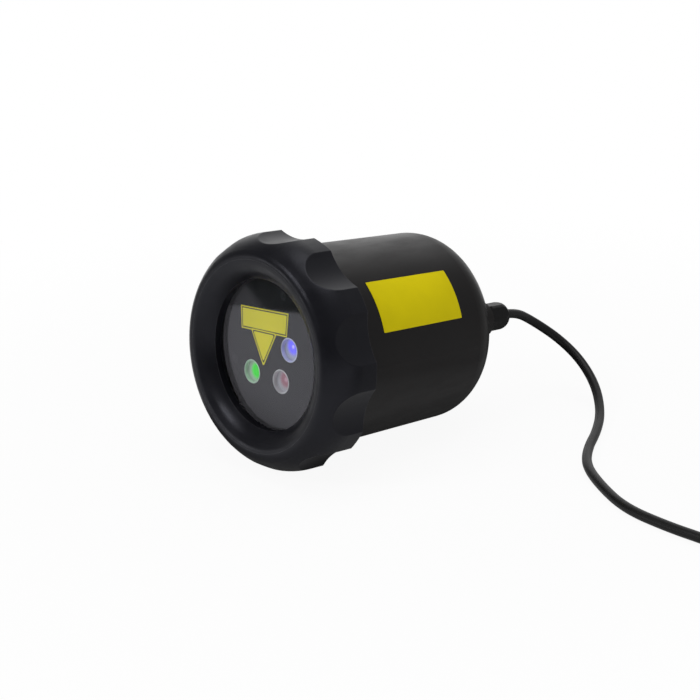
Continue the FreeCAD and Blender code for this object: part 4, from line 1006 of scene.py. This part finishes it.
class PROJECTOR_OT_stage(bpy.types.Operator):
    """Adds the pale floor, the soft light, the white surroundings and the camera."""

    bl_idname = "projector.stage"
    bl_label = "Stage"
    # Per lamp: name, place, aim, width in metres and power in watts.
    lamps = (
        ("overhead", (0.1, 0.12, 1.3), (0.0, 0.0, 0.05), 1.1, 6.5),
        ("front_soft", (-0.26, -0.99, 0.92), (0.0, -0.05, 0.06), 0.45, 4.4),
        ("low_left", (-0.70, -0.90, 0.05), (0.0, -0.05, 0.06), 0.34, 1.2),
    )
    eye = (0.58105, -0.535524, 0.318979)
    right = (0.680141, 0.732142, -0.037104)
    over = (-0.215628, 0.248174, 0.944412)
    ahead = (-0.700652, 0.634333, -0.326663)
    lens, sensor = 82.29, 36.0
    floor_half = 8.0

    def execute(self, context):
        scene = context.scene
        scene.view_settings.view_transform = "Standard"
        self.camera(scene)
        self.floor()
        self.surroundings(scene)
        for lamp in self.lamps:
            self.lamp(*lamp)
        return {"FINISHED"}

    def camera(self, scene):
        data = bpy.data.cameras.new("camera")
        data.lens = self.lens
        data.sensor_width = self.sensor
        data.clip_start = 0.01
        data.clip_end = 60.0
        camera = placed("camera", data)
        turn = Matrix((Vector(self.right), Vector(self.over), -Vector(self.ahead))).transposed().to_4x4()
        camera.matrix_world = Matrix.Translation(Vector(self.eye)) @ turn
        scene.camera = camera

    def lamp(self, name, place, target, width, power):
        data = bpy.data.lights.new(name, "AREA")
        data.shape = "DISK"
        data.size = width
        data.energy = power
        lamp = placed(name, data)
        lamp.location = place
        lamp.rotation_mode = "QUATERNION"
        lamp.rotation_quaternion = (Vector(target) - Vector(place)).to_track_quat("-Z", "Y")

    def floor(self):
        """Pale floor that keeps the shadow, and is partly dark in gloss, as if dark cards stood round it."""
        finish, place = new_finish("pale_floor")
        direct, gloss, through = finish.rays()
        haze = finish.noise(place, 3.0, 2.0)
        pale = finish.blend(haze, (0.80, 0.80, 0.80), (0.83, 0.83, 0.83))
        matt = finish.node("ShaderNodeBsdfPrincipled", None,
                           {"Base Color": pale, "Roughness": 0.9, "Specular IOR Level": 0.0})
        white, dark, grey = (finish.node("ShaderNodeEmission", None, {"Color": whole((tone, tone, tone))})
                             for tone in (1.0, 0.05, 0.5))
        away = finish.node("ShaderNodeVectorMath", {"operation": "LENGTH"}, {0: place}, 1)
        whiteness = 0.93 + away.rise(0.12, 0.5) * 0.07
        lit = finish.mix(direct.larger(gloss).larger(through) * whiteness, matt, white)

        def card(way, low, high):
            """Rises across a line on the floor."""
            return finish.dot(place, (*way, 0.0)).rise(low, high)

        near_way = (0.272, -0.962)
        far = card((-0.693, -0.721), 0.515, 0.525) * (0.6 + card((0.5365, -0.8439), 0.119, 0.126) * 0.4)
        left = card((-1.0, 0.0), 0.07, 0.13) * card((0.0, 1.0), -0.2, -0.1)
        bright = (card(near_way, 0.05, 0.15) * (1.0 - far)).larger(left)
        beside = card((1.0, 0.0), 0.015, 0.075) * (1.0 - card(near_way, 0.1, 0.2))
        dim = finish.mix(beside, dark, grey)
        material = finish.close(finish.mix(gloss * (1.0 - bright), lit, dim))
        build = bmesh.new()
        bmesh.ops.create_grid(build, x_segments=8, y_segments=8, size=self.floor_half)
        mesh = bpy.data.meshes.new("floor")
        build.to_mesh(mesh)
        build.free()
        mesh.materials.append(material)
        placed("floor", mesh)

    def surroundings(self, scene):
        """White to the camera and through glass, and shaded in gloss."""
        world = bpy.data.worlds.new("surroundings")
        scene.world = world
        finish = Finish(world)
        direct, gloss, through = finish.rays()
        toward = finish.node("ShaderNodeTexCoord", output=0)
        behind = finish.dot(toward, (-0.66, 0.66, 0.36)).rise(0.72, 0.99)
        beside = finish.dot(toward, (0.62, 0.78, 0.0)).rise(-0.2, 0.7)
        soft, white, dim = (finish.node("ShaderNodeBackground", None,
                                        {"Color": (1.0, 1.0, 1.0, 1.0), "Strength": strength})
                            for strength in (0.42, 1.0, 0.18))
        plain = finish.mix(direct.larger(through), soft, white)
        mirrored = finish.mix(behind + beside * 0.34, dim, white)
        finish.close(finish.mix(gloss, plain, mirrored), "ShaderNodeOutputWorld")


class PROJECTOR_PT_panel(bpy.types.Panel):
    """Lists the projector's pieces in the sidebar."""

    bl_idname = "PROJECTOR_PT_panel"
    bl_label = "Laser show projector"
    bl_space_type = "VIEW_3D"
    bl_region_type = "UI"
    bl_category = "Projector"

    def draw(self, context):
        for operator in OPERATORS:
            self.layout.operator(operator.bl_idname)
        for group in (context.scene.projector_sizes, context.scene.projector_colours):
            box = self.layout.box()
            for name in group.__annotations__:
                box.prop(group, name)


OPERATORS = (
    PROJECTOR_OT_stage, PROJECTOR_OT_plug, PROJECTOR_OT_strap, PROJECTOR_OT_lead, PROJECTOR_OT_finishes,
    PROJECTOR_OT_pane, PROJECTOR_OT_bevel, PROJECTOR_OT_stickers, PROJECTOR_OT_bushes,
    PROJECTOR_OT_threads, PROJECTOR_OT_screw_slots,
)
CLASSES = (ProjectorSizes, ProjectorColours, *OPERATORS, PROJECTOR_PT_panel)


def register():
    for cls in CLASSES:
        bpy.utils.register_class(cls)
    bpy.types.Scene.projector_sizes = PointerProperty(type=ProjectorSizes)
    bpy.types.Scene.projector_colours = PointerProperty(type=ProjectorColours)


def unregister():
    del bpy.types.Scene.projector_colours
    del bpy.types.Scene.projector_sizes
    for cls in reversed(CLASSES):
        bpy.utils.unregister_class(cls)


def main():
    register()
    bpy.ops.projector.stage()
    bpy.ops.projector.plug()
    bpy.ops.projector.strap()
    bpy.ops.projector.lead()
    bpy.ops.projector.finishes()
    bpy.ops.projector.pane()
    bpy.ops.projector.bevel()
    bpy.ops.projector.stickers()
    bpy.ops.projector.bushes()
    bpy.ops.projector.threads()
    bpy.ops.projector.screw_slots()


if __name__ == "__main__":
    main()
